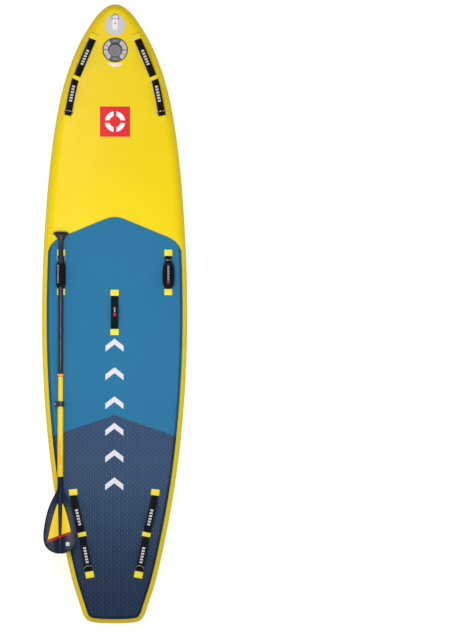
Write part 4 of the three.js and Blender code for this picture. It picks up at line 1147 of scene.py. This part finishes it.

# %% [markdown]
# The valve is grey plastic: a body in the hull, a spring stem inside it, and a cap with fine
# turned rings and one groove. Both are drawn as painted shade: darker colour where their shade
# would fall. The nose slopes here, so a circle on it looks shorter along the board, and the
# distance from the valve's middle is corrected for that. The pieces turn about the line in which
# the cap lifts, and the record gives its direction.

# %% Valve
VALVE_Z = 0.2867
FINE_EDGE = 0.0003
SLOPE_SHARE = 0.953
RING_PITCH, RINGS_REACH = 0.0011, 0.021
GROOVE_RADIUS, GROOVE_HALF = 0.0225, 0.0006
valve_paint = plastic("valve_grey", srgb(132, 127, 134), srgb(150, 146, 152), 0.5, gloss=0.3)
_, x, y, _ = valve_paint.place()
radius = from_centre(x, (y - VALVE_Y) / SLOPE_SHARE)
on_cap = radius < RINGS_REACH
# Painted shade: the turned rings and the groove are darker colour, as the shade in their hollows.
turned_ring_shade = ((radius / RING_PITCH).sine() * on_cap).soft_step(-1, 1) * on_cap
groove = abs(radius - GROOVE_RADIUS) < GROOVE_HALF
valve_paint.over(turned_ring_shade * 0.35, srgb(98, 95, 104))
valve_paint.over(groove * 0.6, srgb(84, 80, 88))

joints = frame["record"]["behaviour"]["joints"]
lift = next(joint for joint in joints if joint["name"] == "valve_cap_lift")
valve_axis = Vector((0, VALVE_Y, VALVE_Z)), Vector(lift["axis"]).normalized()
dress("valve_cap", "valve_cap_moulding", valve_paint, turned=valve_axis)
dress("valve_body", "valve_body_moulding", valve_paint, turned=valve_axis)
dress("valve_stem", "valve_stem_moulding", valve_paint, FINE_EDGE, turned=valve_axis)

# %% [markdown]
# The plate round the valve has a dark rim and six spokes between its fields. The fields at the
# top and at the bottom are dark grey with a pale dash, and the four at the sides are pale with a
# small ring. The colour follows the angle round the valve, and a spoke keeps its width because
# its angle is multiplied by the distance from the middle.

# %% Valve plate
SIGN_X, SIGN_Y, SIGN_RADIUS, SIGN_STROKE = 0.0481, 0.0278, 0.0062, 0.0014
DASH_Y, DASH_HALF = 0.0555, (0.011, 0.0018)
SPOKE_ANGLE, SPOKE_HALF = math.pi / 3, 0.0026
PLATE_INNER, PLATE_OUTER = 0.0425, 0.0685
pale, dark = srgb(200, 193, 199), srgb(30, 26, 36)
plate_paint = plastic("valve_plate", pale, pale, 0.45)
_, x, y, _ = plate_paint.place()
away_y = (y - VALVE_Y) / SLOPE_SHARE
radius = from_centre(x, away_y)
angle = away_y.angle_from(x)
top_or_bottom = abs(abs(angle) - math.pi / 2) < SPOKE_ANGLE / 2
sign_radius = from_centre(abs(x) - SIGN_X, abs(away_y) - SIGN_Y)
sign = abs(sign_radius - SIGN_RADIUS) < SIGN_STROKE
dash = within(x, abs(away_y), (0, DASH_Y), DASH_HALF)
spoke = ((angle / SPOKE_ANGLE + 0.5).cycle() - 0.5) * SPOKE_ANGLE * radius
plate_paint.over(top_or_bottom, srgb(84, 87, 96))
plate_paint.over(sign * 0.75, srgb(122, 88, 128))
plate_paint.over(dash * 0.6, srgb(200, 196, 200))
for mask in (abs(spoke) < SPOKE_HALF, radius > PLATE_OUTER, radius < PLATE_INNER):
    plate_paint.over(mask, dark)
dress("valve_ring_plate", "valve_plate_moulding", plate_paint, FINE_EDGE, turned=valve_axis)

# %% [markdown]
# The blade is navy with two yellow panels beside its spine and a red band under them. The panels
# are printed, so they are drawn from the place on the blade: they open from a point at the top,
# and a slanting line cuts them off at the foot. A small white square with a hole marks the right
# side.

# %% Paddle blade
SPINE_X = -0.319
APEX_Y = -1.119
PANEL_LENGTH = 0.222
PANEL_SPREAD, PANEL_CURVE = 0.062, 0.74
PANEL_GAP, PANEL_GAP_CLOSES = 0.013, 0.02
BAND_SLOPE, BAND_WIDTH, BAND_FOOT = 0.363, 0.016, -1.3205
BAND_OVERLAP = 0.001
MARK_X, MARK_Y, MARK_HALF, MARK_HOLE = -0.274, -1.357, 0.0105, 0.3
blade_paint = plastic(
    "blade_navy", srgb(14, 29, 54), srgb(24, 40, 68), 0.34, coat=0.1, gloss=0.08)
_, x, y, _ = blade_paint.place()
from_spine = abs(x - SPINE_X)
down = (APEX_Y - y).most(0)
outer = (down / PANEL_LENGTH) ** PANEL_CURVE * PANEL_SPREAD + PANEL_GAP
inner = PANEL_GAP - down * PANEL_GAP_CLOSES
foot = y - (x - SPINE_X) * BAND_SLOPE - BAND_FOOT
below_apex = y < APEX_Y
panel = (from_spine < outer) * (from_spine > inner) * (foot > BAND_WIDTH) * below_apex
band = (from_spine < outer + BAND_OVERLAP) * (foot > 0) * (foot < BAND_WIDTH) * below_apex
mark_reach = abs(x - MARK_X).most(abs(y - MARK_Y))
mark = (mark_reach < MARK_HALF) * (mark_reach > MARK_HALF * MARK_HOLE)
blade_paint.over(panel, srgb(248, 210, 10))
blade_paint.over(band, srgb(176, 18, 20))
blade_paint.over(mark, srgb(226, 228, 236))
flow("paddle_blade", "paddle_blade_moulding", blade_paint)
